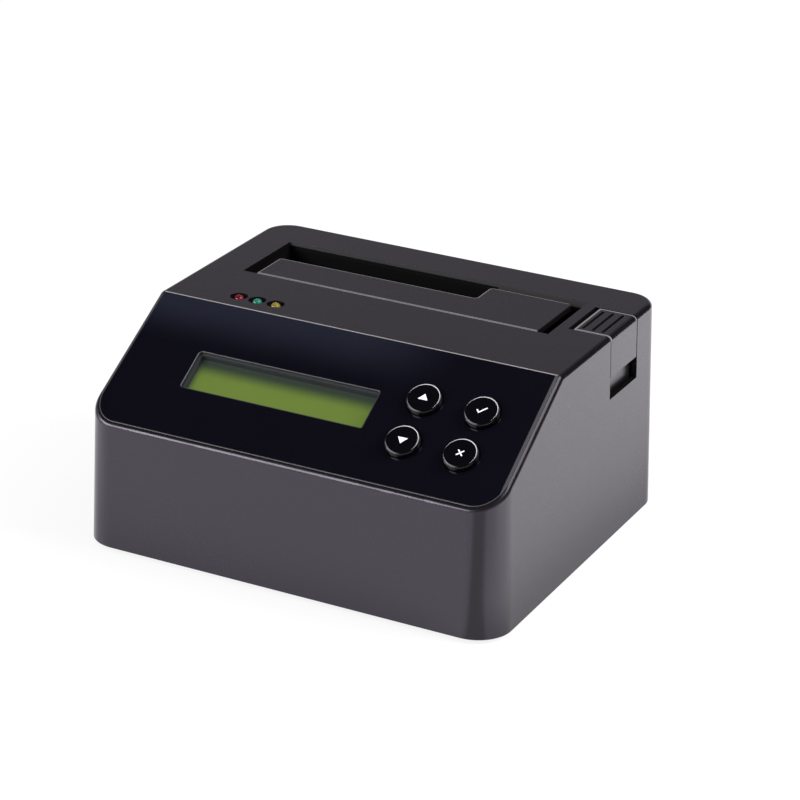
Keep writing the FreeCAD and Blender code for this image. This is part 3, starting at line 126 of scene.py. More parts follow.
class DockFinish(bpy.types.PropertyGroup):
    """Colours and gloss of the dock's surfaces."""
    shell: colour("Shell", "Satin charcoal moulding of the case", (0.0042, 0.0037, 0.0041))
    shell_rough: share("Shell roughness", "Roughness of the satin moulding", 0.29)
    worn_rough: share("Worn roughness", "Roughness of the rounded edges, polished by hands", 0.15)
    shell_sheen: colour("Shell sheen", "Tint of the moulding's highlights", (0.89, 0.83, 1.0))
    # painted highlight: the pale lines along the edges of the flap, the push and the window
    edge_painted_highlight: colour("Edge line", "Bright edges of the flap, the push and the window", (0.15, 0.145, 0.15))
    # painted highlight along the fold between the deck and the slope
    crease: colour("Crease", "Bright line where the deck meets the slope", (0.26, 0.25, 0.26))
    # painted light: the paler upper part of the wall behind the flap, where light falls on it
    slot_lip_painted_light: colour("Slot lip", "Upper part of the wall behind the flap", (0.035, 0.033, 0.034))
    # painted shade: near-black colour inside the slot and the eject opening
    recess: colour("Recess", "Black inside of the slot and the eject opening", (0.002, 0.002, 0.002))
    tray: colour("Tray", "Black moulding under the case", (0.016, 0.016, 0.017))
    panel: colour("Panel", "Polished black sheet on the slope", (0.0019, 0.0017, 0.0040))
    # painted reflection: the bluish gleam under the sheet's top edge
    panel_painted_reflection: colour("Panel gleam", "Bluish gleam under the sheet's top edge", (0.0105, 0.0115, 0.0200))
    panel_rough: share("Panel roughness", "Roughness of the polished sheet", 0.07)
    # painted highlight: the pale rim along the sheet's outline and the wider strip along its right end
    panel_rim: colour("Panel rim", "Cut rim of the polished sheet", (0.055, 0.054, 0.058))
    key: colour("Keys", "Polished black key caps", (0.0015, 0.0014, 0.0024))
    # painted highlights: the pale crescents on the key caps stand in for light caught on their rims
    key_glint: colour("Key glint", "Fainter crescent at the lower left of the key caps", (0.16, 0.16, 0.17))
    key_rim: colour("Key rim", "Bright crescent on the key caps", (0.50, 0.50, 0.51))
    legend: colour("Legends", "White print on the keys", (0.86, 0.86, 0.86))
    display: colour("Display", "Green face of the blank character display", (0.046, 0.069, 0.0122))
    # painted shadow: the colour of the display's top part and left end, where the window's walls shade it
    display_painted_shadow: colour("Display shade", "Upper part of the display", (0.0100, 0.0150, 0.0110))
    gasket: colour("Gasket", "Grey lining of the display window", (0.018, 0.021, 0.025))
    bay: colour("Bay", "Matte black moulding of the drive bay", (0.0030, 0.0030, 0.0033))
    red: colour("Red lamp", "Lens of the red lamp", (0.27, 0.009, 0.022))
    green: colour("Green lamp", "Lens of the green lamp", (0.022, 0.32, 0.21))
    yellow: colour("Yellow lamp", "Lens of the yellow lamp", (0.40, 0.32, 0.045))
    rubber: colour("Rubber", "Feet", (0.018, 0.018, 0.018))
    steel: colour("Steel", "Pins, springs and screws", (0.52, 0.52, 0.53))
    gilt: colour("Gilt", "Plated contacts", (0.83, 0.58, 0.22))
    board: colour("Board", "Green circuit boards", (0.012, 0.11, 0.045))
    pale: colour("Pale parts", "Switch plungers and light guide", (0.72, 0.70, 0.62))
    ribbon: colour("Ribbon", "Grey flat cable", (0.30, 0.30, 0.32))


class DockForm(bpy.types.PropertyGroup):
    """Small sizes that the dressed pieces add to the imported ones."""
    shell_edge: length("Shell edge", "Edge break of the case mouldings", 0.0002)
    push_edge: length("Push edge", "Rounding of the eject push along its outline", 0.00065)
    groove_share: share("Groove share", "Edge break of its grooves, as a share of its rounding", 0.25)
    small_edge: length("Small edge", "Edge break of the small mouldings", 0.0003)
    panel_edge: length("Panel edge", "Edge break of the polished sheet", 0.00008)
    # width of the painted highlight along the flap's edges
    flap_highlight_width: length("Flap line", "Bright line inside the edges of the flap", 0.00025)
    # width of the painted highlight along the push's edges
    push_highlight_width: length("Push line", "Bright line inside the edges of the eject push", 0.00015)
    fold_highlight_width: length("Crease width", "Bright line where the deck meets the slope", 0.0004)
    # height of the painted light on the wall behind the flap
    lit_lip_depth: length("Lip depth", "Height of the paler lip of the wall behind the flap", 0.0011)
    # widths of the painted highlight along the sheet's outline, inside its window and along its right end
    rim_highlight_width: length("Rim width", "Cut rim of the polished sheet", 0.0003)
    window_highlight_width: length("Window rim", "Cut rim of the polished sheet inside its window", 0.0003)
    right_highlight_width: length("Right rim", "Cut rim of the polished sheet along its right end", 0.0010)
    # width of the painted highlight crescent on each key
    crescent: length("Crescent", "Width of the bright crescent on a key at its middle", 0.00028)
    gasket_wall: length("Gasket wall", "Thickness of the lining in the display window", 0.0008)
    key_edge: length("Key edge", "Rounding of the key rim", 0.0002)
    port_edge: length("Port edge", "Edge break of the rear ports", 0.00018)
    foot_edge: length("Foot edge", "Rounding of the rubber feet", 0.0006)
    legend_rise: length("Legend rise", "Print above the key face", 0.00002)
    legend_stroke: length("Legend stroke", "Line width of the tick and the cross", 0.00043)
    screw_recess: length("Screw recess", "Depth of the cross in a screw head", 0.0007)


class DockStage(bpy.types.PropertyGroup):
    """Camera and lights."""
    azimuth: FloatProperty(name="Azimuth", description="Camera round the dock", subtype="ANGLE",
                           default=math.radians(27.044))
    elevation: FloatProperty(name="Elevation", description="Camera above the table", subtype="ANGLE",
                             default=math.radians(23.394))
    roll: FloatProperty(name="Roll", description="Camera about its own line of sight", subtype="ANGLE",
                        default=math.radians(1.164))
    target: FloatVectorProperty(name="Target", description="Point at the middle of the picture",
                                subtype="TRANSLATION", size=3, default=(0.007889, 0.0, 0.04296))
    distance: length("Distance", "Camera to its target", 0.92569)
    lens: FloatProperty(name="Lens", description="Focal length in millimetres", default=134.12)
    top_level: level("Top light", "Light on a surface that faces the top softbox", 0.4)
    side_level: level("Side light", "Light on a surface that faces the right softbox", 1.22)
    front_level: level("Front light", "Light on a surface that faces the front softbox", 0.75)
    room_level: level("Room light", "Light from all round", 0.45)
    seen_floor: share("Seen floor", "Share of plain white in the floor as the camera sees it", 0.85)
    mirrored_floor: share("Mirrored floor", "Share of plain white in the floor as gloss mirrors it", 0.6)
    cast: colour("Cast", "Tint of the floor and the backdrop as gloss mirrors them", (0.97, 0.91, 1.0))
    floor: colour("Floor", "Pale floor", (0.95, 0.95, 0.95))


class Wire:
    """A socket's value that can stand in a sum."""

    def __init__(self, graph, socket):
        self.graph = graph
        self.socket = socket

    def sum(self, operation, first, second):
        return self.graph.node("ShaderNodeMath", {"operation": operation}, {0: first, 1: second})

    def __add__(self, other):
        return self.sum("ADD", self, other)

    __radd__ = __add__

    def __sub__(self, other):
        return self.sum("SUBTRACT", self, other)

    def __rsub__(self, other):
        return self.sum("SUBTRACT", other, self)

    def __mul__(self, other):
        return self.sum("MULTIPLY", self, other)

    __rmul__ = __mul__


class Graph:
    """A shader node tree that is written as expressions."""

    def __init__(self, tree):
        self.tree = tree
        self.tree.nodes.clear()

    def feed(self, socket, value):
        if isinstance(value, Wire):
            self.tree.links.new(value.socket, socket)
        else:
            socket.default_value = value

    def node(self, kind, settings=None, values=None, out=0):
        """A node with its settings made first and then its sockets filled or linked."""
        made = self.tree.nodes.new(kind)
        for name, value in (settings or {}).items():
            if name == "stops":
                ramp = made.color_ramp.elements
                while len(ramp) < len(value):
                    ramp.new(1.0)
                for stop, (place, grey) in zip(ramp, value):
                    stop.position = place
                    stop.color = (grey, grey, grey, 1)
            else:
                setattr(made, name, value)
        for key, value in (values or {}).items():
            self.feed(made.inputs[key], value)
        return Wire(self, made.outputs[out])

    def mix(self, factor, first, second):
        """A colour between two colours."""
        return self.node("ShaderNodeMix", {"data_type": "RGBA"},
                         {"Factor": factor, 6: opaque(first), 7: opaque(second)}, out=2)

    def fade(self, value, full, none):
        """One up to a first value, falling smoothly to nothing at a second."""
        return self.node("ShaderNodeMapRange", {"interpolation_type": "SMOOTHSTEP"},
                         {"Value": value, "From Min": full, "From Max": none, "To Min": 1.0, "To Max": 0.0})


def opaque(shade):
    """A colour with its alpha, or a wire as it is."""
    return shade if isinstance(shade, Wire) else (*shade, 1.0)


def tint(shade, factor):
    """A colour made darker or lighter."""
    return tuple(min(1.0, part * factor) for part in shade)


class Finish(Graph):
    """A material around one principled shader, patterned on Object coordinates."""

    def __init__(self, name):
        self.material = bpy.data.materials.new(name)
        self.material.use_nodes = True
        super().__init__(self.material.node_tree)
        self.shader = self.tree.nodes.new("ShaderNodeBsdfPrincipled")
        end = self.tree.nodes.new("ShaderNodeOutputMaterial")
        self.tree.links.new(self.shader.outputs["BSDF"], end.inputs["Surface"])
        self.place = self.node("ShaderNodeTexCoord", out="Object")

    def set(self, values):
        for name, value in values.items():
            self.feed(self.shader.inputs[name], value)
        return self.material

    def noise(self, scale, detail=2.0):
        return self.node("ShaderNodeTexNoise", {}, {"Vector": self.place, "Scale": scale, "Detail": detail})

    def bump(self, height, strength, distance):
        return self.node("ShaderNodeBump", {},
                         {"Strength": strength, "Distance": distance, "Height": height})

    def along(self, direction):
        """Distance along a direction."""
        return self.node("ShaderNodeVectorMath", {"operation": "DOT_PRODUCT"},
                         {0: self.place, 1: tuple(direction)}, out="Value")


def moulded(name, shade, rough, grain=0.08, sheen=(1, 1, 1), index=1.68):
    """Satin moulding with a fine spark texture and faint flow marks."""
    finish = Finish(name)
    spark = finish.noise(1700.0, 3.0)
    flow = finish.noise(42.0, 2.0)
    return finish.set({
        "Base Color": finish.mix(flow, tint(shade, 0.9), tint(shade, 1.1)),
        "Roughness": rough + (spark - 0.5) * 0.1 + (flow - 0.5) * 0.05,
        "IOR": index,
        "Specular Tint": (*sheen, 1),
        "Normal": finish.bump(spark, grain, 0.00004),
    })


def polished(name, shade, gleam, rough, index=1.5):
    """Polished black with a faint haze of wiping marks and a painted reflection, a bluish gleam under the top edge
    of the slope.
    """
    finish = Finish(name)
    haze = finish.noise(55.0, 4.0)
    ripple = finish.noise(16.0, 1.0)
    # painted reflection: lighter, bluer colour under the top edge, fading down the slope and towards the right
    reflection_height, reflection_end = 18 * MM, 40 * MM
    drop = span("control_panel", UP)[1] - finish.along(UP)
    lit = finish.fade(drop, 0.0, reflection_height) * finish.fade(finish.along(ACROSS), 0.0, reflection_end)
    return finish.set({
        "Base Color": finish.mix(lit * (0.7 + ripple * 0.6) + haze * 0.1, shade, gleam),
        "Roughness": rough + (haze - 0.5) * 0.05,
        "IOR": index,
        "Normal": finish.bump(ripple, 0.05, 0.0002),
    })


def metal(name, shade, rough, scale=900.0):
    """Plain drawn metal."""
    finish = Finish(name)
    draw = finish.noise(scale, 3.0)
    return finish.set({
        "Base Color": finish.mix(draw, tint(shade, 0.82), tint(shade, 1.1)),
        "Roughness": rough + (draw - 0.5) * 0.2,
        "Metallic": 1.0,
        "Normal": finish.bump(draw, 0.08, 0.00003),
    })


def display_face(name, shade, dark):
    """Blank character display: green face that glows with its backlight, with a painted shadow of the window's
    walls along its top and its left end, in its colour and its glow alike.
    """
    finish = Finish(name)
    top = span("display_glass", UP)[1]
    left = span("display_glass", ACROSS)[0]
    cloud = finish.noise(90.0, 2.0)
    lit = finish.mix(cloud, tint(shade, 0.95), tint(shade, 1.05))
    shade_foot, lit_top = 6.4 * MM, 12.0 * MM
    shade_end, lit_start = 3.6 * MM, 6.4 * MM
    # painted shadow of the window's top and left walls, fading down the display and away from its left end
    under = finish.fade(top - finish.along(UP), shade_foot, lit_top)
    beside = finish.fade(finish.along(ACROSS) - left, shade_end, lit_start)
    face = finish.mix(under + (1 - under) * beside * 0.7, lit, dark)
    return finish.set({
        "Base Color": face,
        "Emission Color": face,
        "Emission Strength": 1.8,
        "Roughness": 0.28 + (cloud - 0.5) * 0.03,
        "IOR": 1.5,
        "Coat Weight": 0.15,
        "Coat Roughness": 0.08,
    })


def lens(name, shade):
    """Tinted clear lens of a lamp."""
    finish = Finish(name)
    cloud = finish.noise(700.0, 2.0)
    return finish.set({
        "Base Color": finish.mix(cloud, tint(shade, 0.85), tint(shade, 1.1)),
        "Roughness": 0.06 + cloud * 0.04,
        "IOR": 1.5,
        "Transmission Weight": 0.55,
    })


def circuit_board(name, shade):
    """Green board with paler tracks under its mask."""
    finish = Finish(name)
    squeezed = finish.node("ShaderNodeMapping", {}, {"Vector": finish.place, "Scale": (330.0, 520.0, 1.0)})
    tracks = finish.node("ShaderNodeTexBrick", {"offset": 0.37},
                         {"Vector": squeezed, "Scale": 1.0, "Mortar Size": 0.06}, out="Fac")
    cloud = finish.noise(160.0, 3.0)
    base = finish.mix(cloud, tint(shade, 0.85), tint(shade, 1.15))
    return finish.set({
        "Base Color": finish.mix(tracks * 0.7, base, tint(shade, 1.9)),
        "Roughness": 0.35 + (cloud - 0.5) * 0.1,
        "Normal": finish.bump(tracks, 0.2, 0.00003),
    })


def flat_cable(name, shade):
    """Grey ribbon with its cores showing as ridges."""
    finish = Finish(name)
    cores = finish.node("ShaderNodeTexWave", {"bands_direction": "X"},
                        {"Vector": finish.place, "Scale": 250.0})
    return finish.set({
        "Base Color": finish.mix(cores, tint(shade, 0.7), tint(shade, 1.1)),
        "Roughness": 0.5 + (cores - 0.5) * 0.1,
        "Normal": finish.bump(cores, 0.4, 0.0002),
    })


def all_finishes(look):
    """Every material, by the name that the pieces ask for."""
    return {
        "shell": moulded("charcoal_moulding", look.shell, look.shell_rough, sheen=tuple(look.shell_sheen)),
        "worn": moulded("worn_moulding", look.shell, look.worn_rough, sheen=tuple(look.shell_sheen)),
        "tray": moulded("tray_moulding", look.tray, 0.5),
        "line": moulded("edge_painted_highlight", look.edge_painted_highlight, 0.4),
        "crease": moulded("deck_fold_highlight", look.crease, 0.4),
        "lip": moulded("slot_lip_painted_light", look.slot_lip_painted_light, 0.6),
        "recess": moulded("recess_painted_shade", look.recess, 0.7, index=1.25),
        "bay": moulded("bay_moulding", look.bay, 0.8, index=1.2),
        "gasket": moulded("window_lining", look.gasket, 0.6),
        "panel": polished("polished_sheet", look.panel, look.panel_painted_reflection, look.panel_rough),
        "panel_rim": polished("sheet_rim_painted_highlight", look.panel_rim, look.panel_rim, 0.3),
        "key": polished("polished_key", look.key, look.key, 0.16, 1.42),
        "key_glint": polished("key_glint", look.key_glint, look.key_glint, 0.3),
        "key_rim": polished("key_rim", look.key_rim, look.key_rim, 0.3),
        "legend": moulded("white_print", look.legend, 0.5, 0.05),
        "display": display_face("display_face", look.display, look.display_painted_shadow),
        "bezel": moulded("bezel_paint", look.tray, 0.4),
        "lamp_red": lens("red_lens", look.red),
        "lamp_green": lens("green_lens", look.green),
        "lamp_yellow": lens("yellow_lens", look.yellow),
        "rubber": moulded("foot_rubber", look.rubber, 0.75, 0.3),
        "steel": metal("drawn_steel", look.steel, 0.32),
        "gilt": metal("gilt_plating", look.gilt, 0.25),
        "board": circuit_board("green_board", look.board),
        "chip": moulded("chip_epoxy", look.tray, 0.6, 0.2),
        "pale": moulded("pale_moulding", look.pale, 0.45),
        "ribbon": flat_cable("grey_ribbon", look.ribbon),
    }


FINISHES = {}


def span(node, direction):
    """How far a node reaches along a direction, low and high."""
    reach = [vertex.co.dot(direction) for vertex in NODES[node].data.vertices]
    return min(reach), max(reach)


def crest(node, direction):
    """The middle of a node's furthest face along a direction."""
    points = [vertex.co for vertex in NODES[node].data.vertices]
    top = max(point.dot(direction) for point in points)
    face = [point for point in points if point.dot(direction) > top - TOUCH]
    low = Vector([min(point[axis] for point in face) for axis in range(3)])
    high = Vector([max(point[axis] for point in face) for axis in range(3)])
    return (low + high) / 2


def slope_place(centre):
    """The frame of the sloped front at a point: across, up and out."""
    turn = Matrix((ACROSS, UP, OUT)).transposed().to_4x4()
    return Matrix.Translation(centre) @ turn


def coat(mesh, *finishes):
    """Give a mesh its finishes, in the order of its faces' material numbers."""
    if mesh.materials:
        mesh.materials.clear()
    for finish in finishes:
        mesh.materials.append(FINISHES[finish])


def piece(name, mesh, slot, *finishes):
    """A new piece from a mesh."""
    mesh.name = name
    coat(mesh, *finishes)
    thing = bpy.data.objects.new(name, mesh)
    bpy.context.scene.collection.objects.link(thing)
    return thing


def show(name, mesh, body, slot, *finishes):
    """A new piece from a mesh, riding on a body."""
    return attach(piece(name, mesh, slot, *finishes), body)


def mesh_of(bm, sharp=math.radians(32)):
    """A mesh from a bmesh, shaded smooth with its sharp edges marked."""
    mesh = bpy.data.meshes.new("piece")
    bm.to_mesh(mesh)
    bm.free()
    mesh.polygons.foreach_set("use_smooth", [True] * len(mesh.polygons))
    mesh.set_sharp_from_angle(angle=sharp)
    return mesh


def worked(thing):
    """A plain mesh of a thing with its modifiers worked in."""
    graph = bpy.context.evaluated_depsgraph_get()
    return bpy.data.meshes.new_from_object(thing.evaluated_get(graph), preserve_all_data_layers=True,
                                           depsgraph=graph)


def clean_copy(node):
    """A bmesh of a node with its doubles merged and its flat faces whole."""
    bm = bmesh.new()
    bm.from_mesh(NODES[node].data)
    bmesh.ops.remove_doubles(bm, verts=bm.verts, dist=1e-6)
    bmesh.ops.dissolve_limit(bm, angle_limit=math.radians(0.5), verts=bm.verts, edges=bm.edges)
    return bm


def level_top(face, top):
    """Whether a face is level and lies at a height."""
    return face.normal.z > FLAT and face.calc_center_median().z > top - TOUCH


def ring(bm, faces, width, index, wanted):
    """Mark a ring inside the outline of flat faces as another finish, where it is wanted."""
    made = bmesh.ops.inset_region(bm, faces=faces, thickness=width, use_even_offset=True)["faces"]
    for face in made:
        if wanted(face.calc_center_median()):
            face.material_index = index


def strip(bm, wanted, edge, inward, width, index):
    """Split wanted faces at a width inside a straight edge and mark the strip as another finish."""
    line = edge + inward * width
    faces = [face for face in bm.faces if wanted(face)]
    edges = {edge for face in faces for edge in face.edges}
    points = {vertex for face in faces for vertex in face.verts}
    bmesh.ops.bisect_plane(bm, geom=[*faces, *edges, *points], plane_co=line, plane_no=inward)
    for face in bm.faces:
        if wanted(face) and (face.calc_center_median() - line).dot(inward) < 0:
            face.material_index = index


SHARP = math.radians(35)


def edge_broken(bm, width, segments, weigh):
    """A mesh with its sharp edges rounded over as they weigh, and its flats shaded flat."""
    weights = bm.edges.layers.float.new("bevel_weight_edge")
    for edge in bm.edges:
        if edge.is_manifold and edge.calc_face_angle() > SHARP:
            edge[weights] = weigh(edge) if weigh else 1
    maker = bpy.data.objects.new("maker", mesh_of(bm))
    bpy.context.scene.collection.objects.link(maker)
    bevel = maker.modifiers.new("edge", "BEVEL")
    bevel.width = width
    bevel.segments = segments
    bevel.limit_method = "WEIGHT"
    flats = maker.modifiers.new("flats", "WEIGHTED_NORMAL")
    flats.keep_sharp = True
    mesh = worked(maker)
    bpy.data.objects.remove(maker)
    return mesh


def body_of(node):
    bodies = frame["record"]["behaviour"]["bodies"]
    return next(body for body, members in bodies.items() if node in members)


def slot_of(node):
    return next(entry["material_slot"] for entry in frame["record"]["subparts"] if entry["node"] == node)


def dress(node, name, finishes, width, segments=2, weigh=None, work=None):
    """Put an edge-broken piece in a node's place, worked on beforehand where asked."""
    bm = clean_copy(node)
    if work:
        work(bm)
    mesh = edge_broken(bm, width, segments, weigh)
    thing = show(name, mesh, body_of(node), slot_of(node), *finishes.split())
    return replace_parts(thing, node)


def paint(finish, *nodes):
    """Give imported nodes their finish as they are."""
    for node in nodes:
        coat(NODES[node].data, finish)


def plus(arm, half):
    """The outline of a plus from its middle's reach and half the width of its arms."""
    return [(half, half), (half, arm), (-half, arm), (-half, half), (-arm, half), (-arm, -half),
            (-half, -half), (-half, -arm), (half, -arm), (half, -half), (arm, -half), (arm, half)]


def prism(outline, height):
    """A bmesh of a flat outline raised by a height."""
    bm = bmesh.new()
    face = bm.faces.new([bm.verts.new((*point, 0)) for point in outline])
    raised = bmesh.ops.extrude_face_region(bm, geom=[face])
    tops = [item for item in raised["geom"] if isinstance(item, bmesh.types.BMVert)]
    bmesh.ops.translate(bm, verts=tops, vec=(0, 0, height))
    bmesh.ops.recalc_face_normals(bm, faces=bm.faces)
    return bm


def turned(profile, steps=48):
    """A bmesh turned about Z from points of radius and height, closed on the axis at both ends."""
    bm = bmesh.new()
    edges = []
    last = None
    for radius, height in profile:
        point = bm.verts.new((radius, 0, height))
        if last:
            edges.append(bm.edges.new((last, point)))
        last = point
    bmesh.ops.spin(bm, geom=list(bm.verts) + edges, cent=(0, 0, 0), axis=(0, 0, 1), angle=2 * math.pi,
                   steps=steps, use_merge=True)
    bmesh.ops.remove_doubles(bm, verts=bm.verts, dist=1e-7)
    bmesh.ops.recalc_face_normals(bm, faces=bm.faces)
    return bm


def grid_tree():
    """Geometry nodes that set one piece out in rows and columns."""
    tree = bpy.data.node_groups.new("rows_of_pieces", "GeometryNodeTree")
    tree.interface.new_socket(name="Geometry", in_out="OUTPUT", socket_type="NodeSocketGeometry")
    inputs = {"Piece": "Object", "Columns": "Int", "Rows": "Int", "Width": "Float", "Depth": "Float",
              "Centre": "Vector", "Finish": "Material"}
    for name, kind in inputs.items():
        tree.interface.new_socket(name=name, in_out="INPUT", socket_type=f"NodeSocket{kind}")
    add = tree.nodes.new
    entry = add("NodeGroupInput")
    grid = add("GeometryNodeMeshGrid")
    shift = add("GeometryNodeTransform")
    pattern = add("GeometryNodeObjectInfo")
    copies = add("GeometryNodeInstanceOnPoints")
    real = add("GeometryNodeRealizeInstances")
    finish = add("GeometryNodeSetMaterial")
    end = add("NodeGroupOutput")
    wires = (
        (entry, "Width", grid, "Size X"),
        (entry, "Depth", grid, "Size Y"),
        (entry, "Columns", grid, "Vertices X"),
        (entry, "Rows", grid, "Vertices Y"),
        (grid, "Mesh", shift, "Geometry"),
        (entry, "Centre", shift, "Translation"),
        (shift, "Geometry", copies, "Points"),
        (entry, "Piece", pattern, "Object"),
        (pattern, "Geometry", copies, "Instance"),
        (copies, "Instances", real, "Geometry"),
        (real, "Geometry", finish, "Geometry"),
        (entry, "Finish", finish, "Material"),
        (finish, "Geometry", end, "Geometry"),
    )
    for start, out, stop, into in wires:
        tree.links.new(start.outputs[out], stop.inputs[into])
    return tree


def grown(tree, values):
    """The plain mesh that a geometry node tree makes from its named inputs."""
    host = bpy.data.objects.new("host", bpy.data.meshes.new("host"))
    bpy.context.scene.collection.objects.link(host)
    modifier = host.modifiers.new("nodes", "NODES")
    modifier.node_group = tree
    for item in tree.interface.items_tree:
        if item.in_out == "INPUT":
            modifier[item.identifier] = values[item.name]
    mesh = worked(host)
    bpy.data.objects.remove(host)
    return mesh


def in_rows(pattern_mesh, finish, columns, rows, width, depth, centre):
    """One mesh of a small piece set out in rows and columns about a centre."""
    pattern = bpy.data.objects.new("pattern", pattern_mesh)
    bpy.context.scene.collection.objects.link(pattern)
    values = {"Piece": pattern, "Columns": columns, "Rows": rows, "Width": width, "Depth": depth,
              "Centre": centre, "Finish": FINISHES[finish]}
    mesh = grown(grid_tree(), values)
    bpy.data.objects.remove(pattern)
    return mesh


class CaseFaces:
    """Tells the faces of the case shell apart by where they lie and how they face."""

    def __init__(self):
        self.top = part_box("upper_shell")[1].z
        self.push_low, self.push_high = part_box("eject_button")
        self.slot_low, self.slot_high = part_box("slot_flap")

    def rounded(self, face):
        """Whether a face lies on the rounded edges of the outer walls, those of the slope left out."""
        middle, normal = face.calc_center_median(), face.normal
        lean, side_share, rear_share = 0.12, 0.85, 0.8
        tilted = sum(abs(part) > lean for part in normal) > 1 and normal.z > -lean
        outward = normal.x * math.copysign(1, middle.x)
        side = abs(middle.x) > side_share * CAD_BOX[1][0] and outward > lean
        rear = middle.y > rear_share * CAD_BOX[1][1] and normal.y > lean
        beside_slope = normal.y < -lean and normal.z > lean
        return tilted and (side or rear) and not beside_slope

    def beside_push(self, face):
        """Whether a face is a cheek or the sill of the eject opening."""
        middle, normal = face.calc_center_median(), face.normal
        play, bridge = 1 * MM, 4 * MM
        under_sill, over_sill = 45 * MM, 60 * MM
        along = self.push_low.y - play < middle.y < self.push_high.y + play
        beyond = middle.x > self.slot_high.x + bridge
        cheek = abs(normal.y) > FACING
        sill = normal.z > FACING and middle.z < over_sill
        return along and beyond and middle.z > under_sill and (cheek or sill)

    def near_slot(self, middle, axes):
        """Whether a point lies by the slot along some axes, and not far under the deck."""
        walls, depth = 6 * MM, 20 * MM
        low, high = self.slot_low, self.slot_high
        inside = all(low[axis] - walls < middle[axis] < high[axis] + walls for axis in axes)
        return inside and middle.z > self.top - depth

    def around_slot(self, face):
        """Whether a face is an upright wall of the slot."""
        return abs(face.normal.z) < 0.3 and self.near_slot(face.calc_center_median(), (0, 1))

    def behind_flap(self, face):
        """Whether a face is the slot's rear wall."""
        middle = face.calc_center_median()
        play = 4 * MM
        beyond = 0 < middle.y - self.slot_high.y < play
        return beyond and face.normal.y < -FACING and self.near_slot(middle, (0,))

    def folded(self, face):
        """Whether a face is the fold between the deck and the slope."""
        drop, lean = 1 * MM, 0.02
        high = face.calc_center_median().z > self.top - drop
        return high and abs(face.normal.x) < 0.05 and lean < -face.normal.y < -OUT.y - lean


class DOCK_OT_case(bpy.types.Operator):
    """Case shell and the tray that closes it"""
    bl_idname = "dock.case"
    bl_label = "Case"
    finishes = "shell recess lip worn crease"

    def execute(self, context):
        form = context.scene.dock_form
        dress("upper_shell", "case_shell", self.finishes, form.shell_edge,
              work=lambda bm: self.mark(bm, form.lit_lip_depth, form.fold_highlight_width))
        dress("base_plate", "case_tray", "tray", form.shell_edge)
        return {"FINISHED"}

    def mark(self, bm, lit_lip_depth, fold_highlight_width):
        """Tell the rounded edges from the plain moulding, and paint shade into the openings, a highlight along the
        fold over the slope and light on the upper part of the wall behind the flap.
        """
        recess, lip, worn, crease = range(1, len(self.finishes.split()))
        case = CaseFaces()
        for face in bm.faces:
            if case.rounded(face):
                face.material_index = worn
            # painted shade on the cheeks and sill of the eject opening and on the upright walls of the slot
            if case.beside_push(face) or case.around_slot(face):
                face.material_index = recess
        fold = next(filter(case.folded, bm.faces))
        foot = min((vertex.co.copy() for vertex in fold.verts), key=lambda point: point.z)
        # painted highlight: a pale strip along the fold over the slope
        strip(bm, case.folded, foot, fold.normal.cross(ACROSS), fold_highlight_width, crease)
        rear = case.slot_high
        flap = [vertex.co for vertex in NODES["slot_flap"].data.vertices]
        notch = min(point.x for point in flap if point.y > rear.y - TOUCH)
        # painted light on the upper part of the wall behind the flap, the rest left in painted shade
        strip(bm, case.behind_flap, rear, Vector((-1, 0, 0)), rear.x - notch, lip)
        strip(bm, case.behind_flap, Vector((0, 0, case.top)), Vector((0, 0, -1)), lit_lip_depth, lip)


